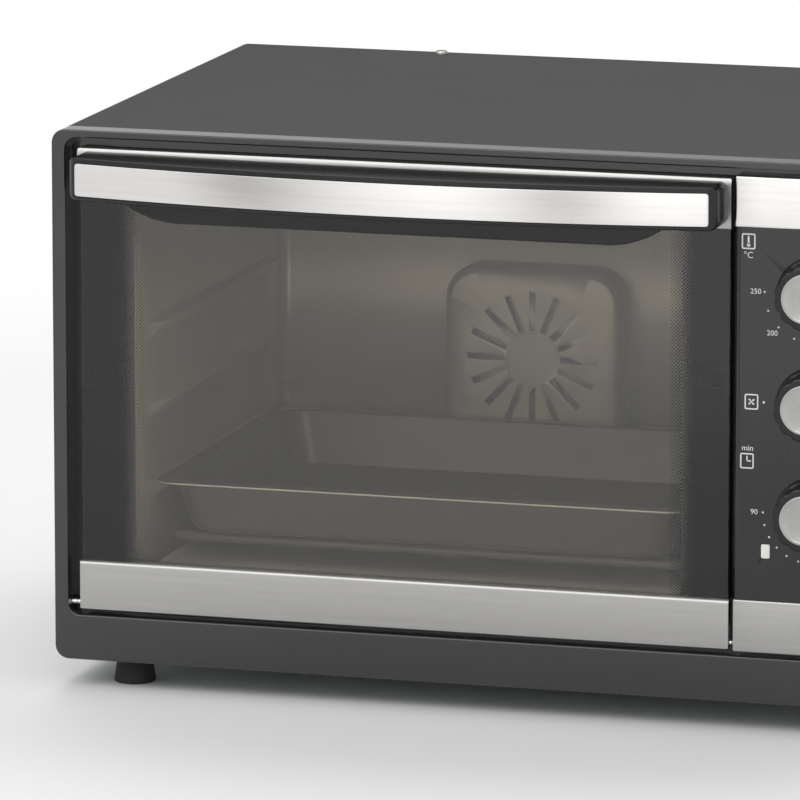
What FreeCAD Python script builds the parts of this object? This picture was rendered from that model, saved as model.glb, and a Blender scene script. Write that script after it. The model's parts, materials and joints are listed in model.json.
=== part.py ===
import FreeCAD, Part
import math
import os

# Electric countertop oven with a drop-down glass door on the left and a control fascia on the right.
# Millimetres. X runs to the right, Y to the back and Z up. The origin is the middle of the
# footprint, on the surface that the feet stand on.

# Driving dimensions: door
door_width = 380.0
door_height = 266.0
door_thickness = 8.0
door_recess = 3.4
door_gap_side = 6.1
door_gap_top = 6.0
door_gap_bottom = 2.6
door_gap_back = 2.0
glass_thickness = 4.0
glass_setback = 3.0
glass_side_inset = 0.5
glass_bite = 11.0
top_trim_height = 28.7
bottom_trim_height = 28.5
trim_sheet = 0.8
trim_hem = 1.8
trim_corner = 1.7
trim_edge = 0.7
trim_roll = 1.8
glass_edge = 0.5
packing_cap = 1.0
packing_depth = 9.0

# Driving dimensions: handle
handle_side_inset = 2.1
handle_top_inset = 2.0
handle_height = 24.2
handle_end_reach = 23.5
handle_reach = 42.0
handle_wall = 2.6
handle_corner = 5.0
handle_edge = 1.6
handle_gap = 9.0
handle_gap_length = 306.0
lip_drop = 11.2
lip_reach = 19.0
lip_thickness = 3.2
lip_flat = 247.2
lip_end_radius = 57.0
lip_edge = 1.0
inlay_side_inset = 4.6
inlay_margin_top = 3.2
inlay_margin_bottom = 2.6
inlay_thickness = 0.8
inlay_sink = 0.6
inlay_corner = 1.5
handle_post_pitch = 300.0
handle_post_radius = 4.5
handle_screw_head_radius = 2.6
handle_screw_head_height = 1.2

# Driving dimensions: casing and front frame
rim_side = 8.1
rim_top = 4.5
rim_bottom = 26.0
frame_wall = 1.5
frame_edge = 0.9
pocket_radius = 7.0
pocket_radius_fascia = 3.0
casing_corner = 8.0
casing_depth = 345.0
sheet = 0.8
fold = 10.0
seat_gap = 0.2
foot_height = 17.0
foot_radius = 12.0
foot_taper = 2.5
foot_wall = 3.5
foot_roof = 4.0
foot_peg = 5.0
foot_peg_length = 3.5
foot_inset_x = 38.0
foot_inset_front = 30.0
foot_inset_back = 40.0
spacer_depth = 12.0
spacer_width = 26.0
spacer_height = 40.0

# Driving dimensions: cavity, set in from the door on all four sides and from the back
cavity_inset = 30.0
cavity_lift = 16.0
cavity_head = 14.0
cavity_rear_space = 45.8
cavity_corner = 10.0
cavity_sheet = 0.8
bead_gap = 0.4
bead_width = 6.0
bead_offset = 2.6
guide_levels = (53.0, 99.0, 145.0)
guide_depth = 7.0
guide_height = 8.0
guide_root_share = 0.4
guide_end_gap = 22.0
support_width = 120.0
support_rise = 20.0
support_foot = 16.0

# Driving dimensions: tray and crumb tray
tray_play = 2.0
tray_setback = 30.0
tray_back_gap = 24.0
tray_depth = 32.0
tray_rim = 9.0
tray_taper = 7.0
tray_corner = 14.0
tray_sheet = 1.0
crumb_wall = 6.0
crumb_play = 4.0

# Driving dimensions: heating elements, two straight rods each
element_radius = 3.25
element_pitch = 112.0
element_drop = 14.0
element_rise = 12.0
element_stub = 18.0
element_clearance = 0.2
bush_size = 14.0
bush_length = 12.0
bush_clearance = 0.05

# Driving dimensions: fan
fan_radius = 40.0
fan_depth = 12.0
fan_blades = 8
fan_blade_sheet = 1.0
fan_blade_lean = 24.0
fan_blade_root = 15.0
fan_hub_radius = 9.0
fan_lift = 90.0
fan_cover_size = 108.0
fan_cover_depth = 22.0
fan_cover_corner = 20.0
fan_cover_edge = 5.0
fan_cover_slots = 16
fan_cover_slot_width = 4.0
fan_cover_slot_start = 17.0
fan_cover_slot_end = 40.0
motor_radius = 27.0
motor_length = 22.0
motor_ear_reach = 12.0
motor_ear_height = 20.0
motor_ear_sheet = 3.0
motor_boss_radius = 8.0
motor_boss_length = 5.0
motor_bearing_end = 3.0
fan_shaft_radius = 3.0
fan_shaft_passage = 0.5
shaft_clearance = 0.05

# Driving dimensions: control fascia
door_to_fascia = 3.2
fascia_width = 88.8
fascia_gap = 0.8
fascia_rise = 2.0
fascia_wall = 2.2
fascia_edge = 3.3
fascia_plate_top = 28.6
fascia_plate_bottom = 29.9
fascia_plate_sheet = 0.8
fascia_plate_edge = 0.5
plate_proud = 0.4
control_drops = (64.0, 126.0, 188.0)
lamp_rise = 58.0
lamp_offset = 18.5
lamp_width = 5.0
lamp_height = 8.0
lamp_proud = 0.3
lamp_clearance = 0.1
lamp_collar = 1.5
lamp_collar_depth = 1.2
lamp_holder_flange = 2.0
lamp_holder_length = 10.0

# Driving dimensions: knobs and the units behind them
knob_radius = 20.5
knob_height = 17.0
knob_skirt = 4.0
knob_skirt_taper = 0.8
grip_radius = 18.5
knob_gap = 0.8
knob_scallops = 12
knob_scallop_radius = 5.0
knob_scallop_depth = 0.9
cap_radius = 14.0
cap_thickness = 1.2
cap_proud = 0.2
pointer_width = 1.6
pointer_length = 9.0
pointer_proud = 0.4
knob_shaft_radius = 3.0
shaft_grip = 11.0
shaft_tail = 8.0
shaft_end_gap = 0.5
neck_radius = 5.0
neck_length = 6.0
neck_clearance = 0.2
fascia_hole_clearance = 0.5
terminal_tab_width = 6.3
terminal_tab_sheet = 0.8
terminal_tab_length = 9.0
thermostat_radius = 17.0
thermostat_length = 20.0
thermostat_tab_pitch = 18.0
bracket_width = 28.0
bracket_height = 44.0
bracket_sheet = 2.0
switch_size = 40.0
switch_length = 32.0
switch_corner = 5.0
switch_deck_depths = (10.0, 22.0)
switch_tab_pitch = 12.0
timer_width = 42.0
timer_height = 42.0
timer_length = 26.0
timer_stud_radius = 2.5
bell_radius = 18.0
bell_depth = 9.0
bell_stand = 1.0
bell_sheet = 1.0

# Driving dimensions: mains inlet and rear spacers
gland_radius = 8.0
gland_flange = 3.0
gland_neck = 4.0
gland_bore = 3.8
gland_clearance = 0.2
gland_inset = 60.0
gland_rise = 42.0
terminal_pitch = 12.0
terminal_base_length = 40.0
terminal_base_width = 18.0
terminal_base_height = 8.0
terminal_tower_length = 9.0
terminal_tower_width = 12.0
terminal_tower_height = 8.0
terminal_screw_radius = 1.8
terminal_screw_depth = 4.0
terminal_offset = 24.0
terminal_inset = 60.0
spacer_inset = 93.0
spacer_drop = 120.0
spacer_wall = 3.0
spacer_edge = 3.0
spacer_peg = 6.0
spacer_peg_length = 4.0

# Driving dimensions: hinges
pin_height = 3.6
pin_radius = 1.9
pin_clearance = 0.06
pin_inside = 11.0
pin_bush_radius = 2.9
pin_bush_flange = 3.6
pin_bush_rim = 1.2
pin_bush_length = 4.6
pin_end_gap = 0.8
pin_groove_share = 0.45
pin_groove_width = 0.8
pin_groove_depth = 0.5
block_length = 16.0
block_height = 11.0
stay_radius = 21.0
stay_width = 5.0
stay_sheet = 2.0
stay_inset = 15.0
stay_stop = 3.2
stay_stop_span = 12.0
stay_stop_gap = 0.3
stay_tab_half = 4.5
stay_tab_sheet = 1.2
stay_tab_margin = 3.0
stay_seat = 0.05
slot_clearance = 1.2

# Driving dimensions: vents and screws
vent_length = 34.0
vent_height = 3.6
vent_pitch = 9.0
vent_count = 7
vent_tongue = 3.0
vent_inset = 75.0
vent_drop = 60.0
vent_rise = 60.0
vent_column_gap = 12.0
screw_head_radius = 3.6
screw_head_height = 1.8
screw_shank_radius = 1.7
screw_length = 6.0
screw_clearance = 0.1
screw_inset = 70.0
top_screw_inset = 130.0

# Cutters run this far past the faces that they open
past = 1.0

# Places worked out from the driving dimensions
casing_width = 2 * rim_side + door_gap_side + door_width + door_to_fascia + fascia_width + fascia_gap
casing_height = rim_bottom + door_gap_bottom + door_height + door_gap_top + rim_top
left = -casing_width / 2
right = casing_width / 2
bottom = foot_height
top = bottom + casing_height
inlay_lift = inlay_thickness - inlay_sink
front = (handle_reach + inlay_lift - door_recess - casing_depth - spacer_depth) / 2
back = front + casing_depth

door_left = left + rim_side + door_gap_side
door_right = door_left + door_width
door_bottom = bottom + rim_bottom + door_gap_bottom
door_top = door_bottom + door_height
door_mid = (door_left + door_right) / 2
door_front = front + door_recess
door_back = door_front + door_thickness
glass_front = door_front + glass_setback
glass_back = glass_front + glass_thickness
glass_bottom = door_bottom + bottom_trim_height - glass_bite
glass_top = door_top - top_trim_height + glass_bite

plate_front = door_back + door_gap_back
plate_back = plate_front + sheet
pocket_left = door_left - door_gap_side
pocket_right = right - rim_side
pocket_bottom = door_bottom - door_gap_bottom
pocket_top = door_top + door_gap_top

fascia_left = door_right + door_to_fascia
fascia_right = fascia_left + fascia_width
fascia_bottom = door_bottom
fascia_top = door_top + fascia_rise
fascia_front = front + plate_proud
control_x = (fascia_left + fascia_right) / 2
control_heights = tuple(fascia_top - drop for drop in control_drops)

cavity_left = door_left + cavity_inset
cavity_right = door_right - cavity_inset
cavity_width = cavity_right - cavity_left
cavity_mid = (cavity_left + cavity_right) / 2
cavity_front = plate_back
cavity_back = back - cavity_rear_space
cavity_bottom = door_bottom + cavity_lift
cavity_top = door_top - cavity_head

tray_front = door_front + tray_setback
tray_back = cavity_back - tray_back_gap
tray_mid_y = (tray_front + tray_back) / 2
tray_top = cavity_bottom + guide_levels[0] + tray_sheet

upper_element_z = cavity_top - element_drop
lower_element_z = cavity_bottom + element_rise
element_mid_y = (cavity_front + cavity_back - fan_cover_depth) / 2
element_places = (element_mid_y - element_pitch / 2, element_mid_y + element_pitch / 2)

fan_z = cavity_bottom + fan_lift
fan_cover_front = cavity_back - fan_cover_depth
fan_front = fan_cover_front + (fan_cover_depth - fan_depth) / 2
motor_front = cavity_back + cavity_sheet
motor_back = motor_front + motor_length

gland_x = right - gland_inset
gland_z = bottom + gland_rise
lamp_x = fascia_left + lamp_offset
lamp_z = fascia_bottom + lamp_rise

pin_y = door_front + door_thickness / 2
pin_z = door_bottom + pin_height
hole_radius = pin_radius + pin_clearance
stay_x = {"left": door_left + stay_inset, "right": door_right - stay_inset}
stay_stop_inner = stay_radius - stay_width / 2 - stay_stop
stay_stop_angle = 90 + math.degrees(math.asin((plate_back + stay_stop_gap - pin_y) / stay_stop_inner))

handle_left = door_left + handle_side_inset
handle_right = door_right - handle_side_inset
handle_top = door_top - handle_top_inset
handle_bottom = handle_top - handle_height
handle_half = (handle_right - handle_left) / 2


def vec(x, y, z):
    return FreeCAD.Vector(x, y, z)


def block(x0, x1, y0, y1, z0, z1):
    """A plain box between two corners."""
    return Part.makeBox(x1 - x0, y1 - y0, z1 - z0, vec(x0, y0, z0))


def rod(radius, length, start, axis):
    """A round bar from a start point along an axis."""
    return Part.makeCylinder(radius, length, start, axis)


def along_x(radius, x0, x1, y, z):
    return rod(radius, x1 - x0, vec(x0, y, z), vec(1, 0, 0))


def along_y(radius, y0, y1, x, z):
    return rod(radius, y1 - y0, vec(x, y0, z), vec(0, 1, 0))


def prism(points, direction):
    """A straight-sided solid: a flat outline of corner points, pushed along a direction."""
    return Part.Face(Part.makePolygon(points + [points[0]])).extrude(direction)


def rounded_outline(x0, x1, z0, z1, y, radii):
    """A closed outline in the X-Z plane, with one radius for each corner.

    The radii run bottom left, bottom right, top right, top left; 0 keeps a sharp corner.
    """
    corners = ((x0, z0, 1, 1), (x1, z0, -1, 1), (x1, z1, -1, -1), (x0, z1, 1, -1))
    starts = []
    ends = []
    middles = []
    for index, (x, z, sx, sz) in enumerate(corners):
        radius = radii[index]
        on_upright = vec(x, y, z + sz * radius)
        on_level = vec(x + sx * radius, y, z)
        bulge = radius * (1 - math.sqrt(0.5))
        middles.append(vec(x + sx * bulge, y, z + sz * bulge))
        from_upright = index in (0, 2)
        starts.append(on_upright if from_upright else on_level)
        ends.append(on_level if from_upright else on_upright)
    edges = []
    for index in range(4):
        if radii[index] > 0:
            edges.append(Part.Arc(starts[index], middles[index], ends[index]).toShape())
        following = starts[(index + 1) % 4]
        if (following - ends[index]).Length > 1e-6:
            edges.append(Part.makeLine(ends[index], following))
    return Part.Wire(edges)


def rounded_block(x0, x1, y0, y1, z0, z1, radius):
    """A block with rounded edges along Y: one radius, or one for each corner."""
    radii = radius if isinstance(radius, tuple) else (radius,) * 4
    face = Part.Face(rounded_outline(x0, x1, z0, z1, y0, radii))
    return face.extrude(vec(0, y1 - y0, 0))


def frame_ring(x0, x1, y0, y1, z0, z1, radius, width):
    """A ring of the given width round the outside of a rounded rectangle."""
    outer = rounded_block(x0 - width, x1 + width, y0, y1, z0 - width, z1 + width, radius + width)
    inner = rounded_block(x0, x1, y0 - 1, y1 + 1, z0, z1, radius)
    return outer.cut(inner)


def edges_where(shape, test):
    """The edges of a shape whose two ends both pass a test."""
    found = []
    for edge in shape.Edges:
        if all(test(vertex.Point) for vertex in edge.Vertexes):
            found.append(edge)
    return found


def near(value, target):
    return abs(value - target) < 1e-4


def upright_edges(shape, test):
    """The edges of a shape that run straight up and whose lower end passes a test."""
    found = []
    for edge in shape.Edges:
        first = edge.Vertexes[0].Point
        last = edge.Vertexes[-1].Point
        if near(first.x, last.x) and near(first.y, last.y) and not near(first.z, last.z) and test(first):
            found.append(edge)
    return found


def vent_row(centre, inward, side, step):
    """A row of lanced vents: the cutters for its slots, and the tongues bent in above them.

    The centre lies on the outer face of the sheet. Inward points into the oven, side runs along
    the slots and step from one slot to the next.
    """
    cutters = []
    tongues = []
    upward = step * (1 / step.Length)
    rise = upward * (vent_height / 2)
    half = side * (vent_length / 2)
    for index in range(vent_count):
        place = centre + step * (index - (vent_count - 1) / 2)
        start = place - inward * past
        corners = [start - half - rise, start + half - rise, start + half + rise, start - half + rise]
        cutters.append(prism(corners, inward * (sheet + 2 * past)))
        root = place + inward * sheet + rise - half
        bend = inward * vent_tongue - upward * vent_height
        section = [root, root + upward * sheet, root + upward * sheet + bend, root + bend]
        tongues.append(prism(section, side * vent_length))
    return cutters, tongues


def cut_vents(panel, rows):
    """Opens the given rows of vents in a sheet and adds their tongues."""
    for cutters, tongues in rows:
        panel = panel.cut(cutters).fuse(tongues)
    return panel


def screw(head_seat, into):
    """A screw whose round head sits on a surface and whose shank goes into it."""
    head = rod(screw_head_radius, screw_head_height, head_seat, into * -1)
    shank = rod(screw_shank_radius, screw_length, head_seat, into)
    return head.fuse(shank).removeSplitter()


def screw_hole(head_seat, into):
    """The clearance hole for one screw."""
    return rod(screw_shank_radius + screw_clearance, screw_length + 2 * past, head_seat - into * past, into)


def casing_screw_places():
    """Screws through the lower edges of the casing into the folds of the base pan."""
    places = []
    height = bottom + sheet + fold / 2
    for y in (plate_back + screw_inset, back - screw_inset):
        places.append((vec(left, y, height), vec(1, 0, 0)))
        places.append((vec(right, y, height), vec(-1, 0, 0)))
    return places


def rear_screw_places():
    """Screws through the rear edge of the casing into the folds of the rear panel."""
    y = back - fold / 2
    middle = (bottom + top) / 2
    return [
        (vec(left, y, middle), vec(1, 0, 0)),
        (vec(right, y, middle), vec(-1, 0, 0)),
        (vec(left + top_screw_inset, y, top), vec(0, 0, -1)),
        (vec(right - top_screw_inset, y, top), vec(0, 0, -1)),
    ]


def handle_screw_places():
    """Screws through the top trim into the posts of the handle."""
    seat_y = door_front + trim_sheet
    z = (handle_top + handle_bottom) / 2
    return [(vec(door_mid + side * handle_post_pitch / 2, seat_y, z), vec(0, -1, 0)) for side in (-1, 1)]


def front_frame():
    """Moulded rim round the front: hollow from behind, with the pocket for door and fascia."""
    outer = rounded_block(left, right, front, plate_front, bottom, top, casing_corner)
    radii = (pocket_radius, pocket_radius_fascia, pocket_radius_fascia, pocket_radius)
    pocket = rounded_block(
        pocket_left, pocket_right, front - past, plate_front + past, pocket_bottom, pocket_top, radii)
    frame = outer.cut(pocket)
    frame = frame.makeChamfer(frame_edge, edges_where(frame, lambda point: near(point.y, front)))
    hollow_outer = rounded_block(
        left + frame_wall, right - frame_wall, front + frame_wall, plate_front + past,
        bottom + frame_wall, top - frame_wall, casing_corner - frame_wall)
    hollow_inner = rounded_block(
        pocket_left - frame_wall, pocket_right + frame_wall, front, plate_front + 2 * past,
        pocket_bottom - frame_wall, pocket_top + frame_wall, tuple(radius + frame_wall for radius in radii))
    frame = frame.cut(hollow_outer.cut(hollow_inner))
    return frame.cut(along_x(
        pin_bush_radius + pin_clearance, pocket_left - 2 * frame_wall, pocket_left + past, pin_y, pin_z))


def cavity_face_plate():
    """Flat plate behind the door: mouth of the cavity with its pressed bead, stay slots, shaft holes."""
    margin = sheet + seat_gap
    plate = rounded_block(
        left + margin, right - margin, plate_front, plate_back,
        bottom + margin, top - margin, casing_corner - margin)
    bead_front = plate_front - (door_gap_back - bead_gap)
    bead = frame_ring(
        cavity_left - bead_offset, cavity_right + bead_offset, bead_front, plate_front,
        cavity_bottom - bead_offset, cavity_top + bead_offset, cavity_corner + bead_offset, bead_width)
    inner_offset = bead_offset + sheet
    groove = frame_ring(
        cavity_left - inner_offset, cavity_right + inner_offset, bead_front + sheet, plate_back + past,
        cavity_bottom - inner_offset, cavity_top + inner_offset, cavity_corner + inner_offset,
        bead_width - 2 * sheet)
    mouth = rounded_block(
        cavity_left, cavity_right, plate_front - past, plate_back + past, cavity_bottom, cavity_top,
        cavity_corner)
    plate = plate.fuse(bead).cut(groove).cut(mouth)
    cutters = [lamp_box(lamp_holder_flange, plate_front - past, plate_back + past)]
    crossing = pin_z + math.sqrt(stay_radius ** 2 - (plate_front - pin_y) ** 2)
    half_width = stay_sheet / 2 + slot_clearance
    half_height = stay_width / 2 + slot_clearance
    for x in stay_x.values():
        cutters.append(block(x - half_width, x + half_width, plate_front - past, plate_back + past,
                             crossing - half_height, crossing + half_height))
    for z in control_heights:
        cutters.append(along_y(
            neck_radius + neck_clearance, plate_front - past, plate_back + past, control_x, z))
    return plate.cut(cutters).removeSplitter()


def outer_casing():
    """One sheet folded over the left side, the top and the right side, with lanced vents."""
    outer = rounded_block(
        left, right, plate_front, back, bottom, top, (0.0, 0.0, casing_corner, casing_corner))
    inner_corner = casing_corner - sheet
    inner = rounded_block(
        left + sheet, right - sheet, plate_front - past, back + past, bottom - past, top - sheet,
        (0.0, 0.0, inner_corner, inner_corner))
    wrap = outer.cut(inner)
    step = vec(0, 0, vent_pitch)
    along = vec(0, 1, 0)
    rows = [
        vent_row(vec(left, back - vent_inset, top - vent_drop), vec(1, 0, 0), along, step),
        vent_row(vec(right, back - vent_inset, top - vent_drop), vec(-1, 0, 0), along, step),
        vent_row(vec(right, front + vent_inset, bottom + vent_rise), vec(-1, 0, 0), along, step),
    ]
    wrap = cut_vents(wrap, rows)
    return wrap.cut([screw_hole(*place) for place in casing_screw_places() + rear_screw_places()])


def rear_panel():
    """Folded sheet that closes the back, with vents behind the fan motor and by the controls."""
    panel_bottom = bottom + sheet + fold + seat_gap
    corner = casing_corner - sheet
    panel = rounded_block(
        left + sheet, right - sheet, back - fold, back, panel_bottom, top - sheet, (0.0, 0.0, corner, corner))
    inner = rounded_block(
        left + 2 * sheet, right - 2 * sheet, back - fold - past, back - sheet, panel_bottom + sheet,
        top - 2 * sheet, (0.0, 0.0, corner - sheet, corner - sheet))
    panel = panel.cut(inner)
    inward = vec(0, -1, 0)
    along = vec(1, 0, 0)
    step = vec(0, 0, vent_pitch)
    columns = [cavity_mid + offset * (vent_length + vent_column_gap) for offset in (-1, 0, 1)]
    rows = [vent_row(vec(x, back, fan_z), inward, along, step) for x in columns]
    rows.append(vent_row(vec(control_x, back, top - vent_drop), inward, along, step))
    panel = cut_vents(panel, rows)
    cutters = [along_y(gland_radius, back - fold, back + past, gland_x, gland_z)]
    cutters += [screw_hole(*place) for place in rear_screw_places()]
    cutters += [spacer_pin(side, screw_clearance) for side in (-1, 1)]
    return panel.cut(cutters)


def base_pan():
    """Folded tray of sheet that closes the bottom, with vents and four square holes for the feet."""
    rim = bottom + sheet + fold
    pan = block(left + sheet, right - sheet, plate_back, back - seat_gap, bottom, rim)
    pan = pan.cut(block(left + 2 * sheet, right - 2 * sheet, plate_back + sheet, back - seat_gap - sheet,
                        bottom + sheet, rim + past))
    rows = []
    upward = vec(0, 0, 1)
    along = vec(1, 0, 0)
    for x in (cavity_mid, control_x):
        rows.append(vent_row(vec(x, element_mid_y, bottom), upward, along, vec(0, vent_pitch, 0)))
    pan = cut_vents(pan, rows)
    cutters = [foot_pin(x, y, screw_clearance) for x, y in foot_places().values()]
    cutters += [screw_hole(*place) for place in casing_screw_places()]
    return pan.cut(cutters)


def foot_places():
    """Where the four feet stand."""
    y_front = front + foot_inset_front
    y_back = back - foot_inset_back
    return {
        "front_left": (left + foot_inset_x, y_front),
        "front_right": (right - foot_inset_x, y_front),
        "rear_left": (left + foot_inset_x, y_back),
        "rear_right": (right - foot_inset_x, y_back),
    }


def foot_pin(x, y, clearance):
    """Square peg on top of a foot, grown by a clearance where it is used as a cutter."""
    half = foot_peg / 2 + clearance
    return block(x - half, x + half, y - half, y + half, foot_height, foot_height + foot_peg_length)


def foot(x, y):
    """Tapered foot with a hollow underside and a square peg that snaps into the base pan."""
    body = Part.makeCone(foot_radius - foot_taper, foot_radius, foot_height, vec(x, y, 0))
    hollow_radius = foot_radius - foot_taper - foot_wall
    hollow = rod(hollow_radius, foot_height - foot_roof + past, vec(x, y, -past), vec(0, 0, 1))
    return body.cut(hollow).fuse(foot_pin(x, y, 0.0))


def cavity_side_wall(side):
    """Side wall of the cavity: three pressed guides for the tray, four holes for the heating rods."""
    inner_face = cavity_left if side < 0 else cavity_right
    outer_face = inner_face + side * cavity_sheet
    low_x = min(inner_face, outer_face)
    high_x = max(inner_face, outer_face)
    wall = block(low_x, high_x, cavity_front, cavity_back, cavity_bottom, cavity_top)
    wall = wall.fuse([guide_rib(side, inner_face, level, 0.0) for level in guide_levels])
    cutters = [guide_rib(side, outer_face, level, cavity_sheet) for level in guide_levels]
    for z in (upper_element_z, lower_element_z):
        for y in element_places:
            cutters.append(along_x(element_radius + element_clearance, low_x - past, high_x + past, y, z))
    return wall.cut(cutters)


def guide_rib(side, face, level, shrink):
    """One pressed guide: flat on top, sloped below, run out into the wall at both ends."""
    z_crest = cavity_bottom + level - shrink
    z_root = cavity_bottom + level - guide_height + shrink
    y0 = cavity_front + guide_end_gap + shrink
    y1 = cavity_back - guide_end_gap - shrink

    def level_shape(depth, z):
        return Part.makePolygon([
            vec(face, y0, z), vec(face - side * depth, y0 + depth, z),
            vec(face - side * depth, y1 - depth, z), vec(face, y1, z), vec(face, y0, z)])

    return Part.makeLoft(
        [level_shape(guide_depth * guide_root_share, z_root), level_shape(guide_depth, z_crest)], True, True)


def cavity_roof():
    """Roof of the cavity, resting on the side walls."""
    return block(cavity_left - cavity_sheet, cavity_right + cavity_sheet, cavity_front, cavity_back,
                 cavity_top, cavity_top + cavity_sheet)


def cavity_floor():
    """Floor of the cavity, under the side walls."""
    return block(cavity_left - cavity_sheet, cavity_right + cavity_sheet, cavity_front, cavity_back,
                 cavity_bottom - cavity_sheet, cavity_bottom)


def cavity_rear_wall():
    """Rear wall of the cavity with the hole for the fan shaft."""
    wall = block(cavity_left - cavity_sheet, cavity_right + cavity_sheet, cavity_back,
                 cavity_back + cavity_sheet, cavity_bottom - cavity_sheet, cavity_top + cavity_sheet)
    passage = along_y(
        fan_shaft_radius + fan_shaft_passage, cavity_back - past, cavity_back + 2 * past, cavity_mid, fan_z)
    return wall.cut(passage)


def cavity_support():
    """Bent bracket that carries the back of the cavity on the base pan."""
    x0 = cavity_mid - support_width / 2
    x1 = cavity_mid + support_width / 2
    y = cavity_back + cavity_sheet
    low = bottom + sheet
    upright = block(x0, x1, y, y + sheet, low, cavity_bottom + support_rise)
    foot_strip = block(x0, x1, y, y + support_foot, low, low + sheet)
    return upright.fuse(foot_strip).removeSplitter()


def heating_element(z):
    """Two straight sheathed rods that run through both side walls."""
    rods = []
    for y in element_places:
        rods.append(along_x(element_radius, cavity_left - element_stub, cavity_right + element_stub, y, z))
    return Part.makeCompound(rods)


def element_bushes():
    """Square ceramic bushes on the ends of the heating rods, outside the side walls."""
    bushes = []
    half = bush_size / 2
    for side, wall_x in ((-1, cavity_left - cavity_sheet), (1, cavity_right + cavity_sheet)):
        far_x = wall_x + side * bush_length
        x0 = min(wall_x, far_x)
        x1 = max(wall_x, far_x)
        for z in (upper_element_z, lower_element_z):
            for y in element_places:
                bush = block(x0, x1, y - half, y + half, z - half, z + half)
                bore = along_x(element_radius + bush_clearance, x0 - past, x1 + past, y, z)
                bushes.append(bush.cut(bore))
    return Part.makeCompound(bushes)


def tray_solid(inset, z_low, z_high, top_half_x, top_half_y):
    """A tapered, round-cornered block that is wider at the top than at the bottom."""
    wires = []
    for z, taper in ((z_low, tray_taper), (z_high, 0.0)):
        half_x = top_half_x - inset - taper
        half_y = top_half_y - inset - taper
        wires.append(level_outline(cavity_mid, tray_mid_y, half_x, half_y, z, tray_corner - inset))
    return Part.makeLoft(wires, True, True)


def level_outline(mid_x, mid_y, half_x, half_y, z, radius):
    """A closed round-cornered rectangle in the X-Y plane."""
    edges = []
    turn = math.radians(90)
    centres = ((1, 1), (-1, 1), (-1, -1), (1, -1))
    previous = None
    first = None
    for index, (sx, sy) in enumerate(centres):
        centre = vec(mid_x + sx * (half_x - radius), mid_y + sy * (half_y - radius), z)
        points = []
        for share in (0.0, 0.5, 1.0):
            angle = (index + share) * turn
            points.append(centre + vec(radius * math.cos(angle), radius * math.sin(angle), 0))
        if previous is not None:
            edges.append(Part.makeLine(previous, points[0]))
        else:
            first = points[0]
        edges.append(Part.Arc(*points).toShape())
        previous = points[2]
    edges.append(Part.makeLine(previous, first))
    return Part.Wire(edges)


def baking_tray():
    """Pressed tray with sloped sides and a flat rim that rests on the lowest guides."""
    half_x = cavity_width / 2 - tray_play
    half_y = (tray_back - tray_front) / 2
    rim_outline = level_outline(cavity_mid, tray_mid_y, half_x, half_y, tray_top - tray_sheet, tray_corner)
    rim = Part.Face(rim_outline).extrude(vec(0, 0, tray_sheet))
    inner_x = half_x - tray_rim
    inner_y = half_y - tray_rim
    bowl = tray_solid(0.0, tray_top - tray_depth, tray_top, inner_x, inner_y)
    floor_top = tray_top - tray_depth + tray_sheet
    space = tray_solid(tray_sheet, floor_top, tray_top, inner_x, inner_y)
    return rim.fuse(bowl).cut(space).removeSplitter()


def crumb_tray():
    """Flat tray with low folded walls on the floor of the cavity."""
    x0 = cavity_left + crumb_play
    x1 = cavity_right - crumb_play
    y0 = cavity_front + crumb_play
    y1 = cavity_back - crumb_play
    rim = cavity_bottom + crumb_wall
    outer = block(x0, x1, y0, y1, cavity_bottom, rim)
    inner = block(x0 + sheet, x1 - sheet, y0 + sheet, y1 - sheet, cavity_bottom + sheet, rim + past)
    return outer.cut(inner)


def cover_block(y0, y1, size, corner, edge):
    """The outer or the inner form of the fan cover, with its front edge taken off."""
    half = size / 2
    form = rounded_block(cavity_mid - half, cavity_mid + half, y0, y1, fan_z - half, fan_z + half, corner)
    return form.makeChamfer(edge, edges_where(form, lambda point: near(point.y, y0)))


def fan_cover():
    """Dished cover over the fan, with a ring of slots that point outwards."""
    outer = cover_block(fan_cover_front, cavity_back, fan_cover_size, fan_cover_corner, fan_cover_edge)
    inner = cover_block(fan_cover_front + sheet, cavity_back + past, fan_cover_size - 2 * sheet,
                        fan_cover_corner - sheet, fan_cover_edge)
    slots = []
    half = fan_cover_slot_width / 2
    for index in range(fan_cover_slots):
        slot = block(fan_cover_slot_start, fan_cover_slot_end, fan_cover_front - past,
                     fan_cover_front + sheet + past, -half, half)
        slot.rotate(vec(0, 0, 0), vec(0, 1, 0), 360 * index / fan_cover_slots)
        slot.translate(vec(cavity_mid, 0, fan_z))
        slots.append(slot)
    return outer.cut(inner).cut(slots)


def fan_wheel():
    """Flat disc with leaning blades and a hub that is bored for the shaft."""
    disc_back = fan_front + fan_depth
    disc_front = disc_back - fan_blade_sheet
    disc = along_y(fan_radius, disc_front, disc_back, cavity_mid, fan_z)
    hub = along_y(fan_hub_radius, fan_front, disc_back, cavity_mid, fan_z)
    half = fan_blade_sheet / 2
    blades = []
    for index in range(fan_blades):
        blade = block(fan_blade_root, fan_radius - fan_blade_sheet, fan_front, disc_front + half, -half, half)
        blade.rotate(vec(fan_blade_root, 0, 0), vec(0, 1, 0), fan_blade_lean)
        blade.rotate(vec(0, 0, 0), vec(0, 1, 0), 360 * index / fan_blades)
        blade.translate(vec(cavity_mid, 0, fan_z))
        blades.append(blade)
    bore = along_y(fan_shaft_radius, fan_front - past, disc_back + past, cavity_mid, fan_z)
    return disc.fuse([hub] + blades).cut(bore).removeSplitter()


def fan_shaft():
    """Shaft from the fan hub through the rear wall into the motor."""
    return along_y(fan_shaft_radius, fan_front, motor_back - motor_bearing_end - past, cavity_mid, fan_z)


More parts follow.
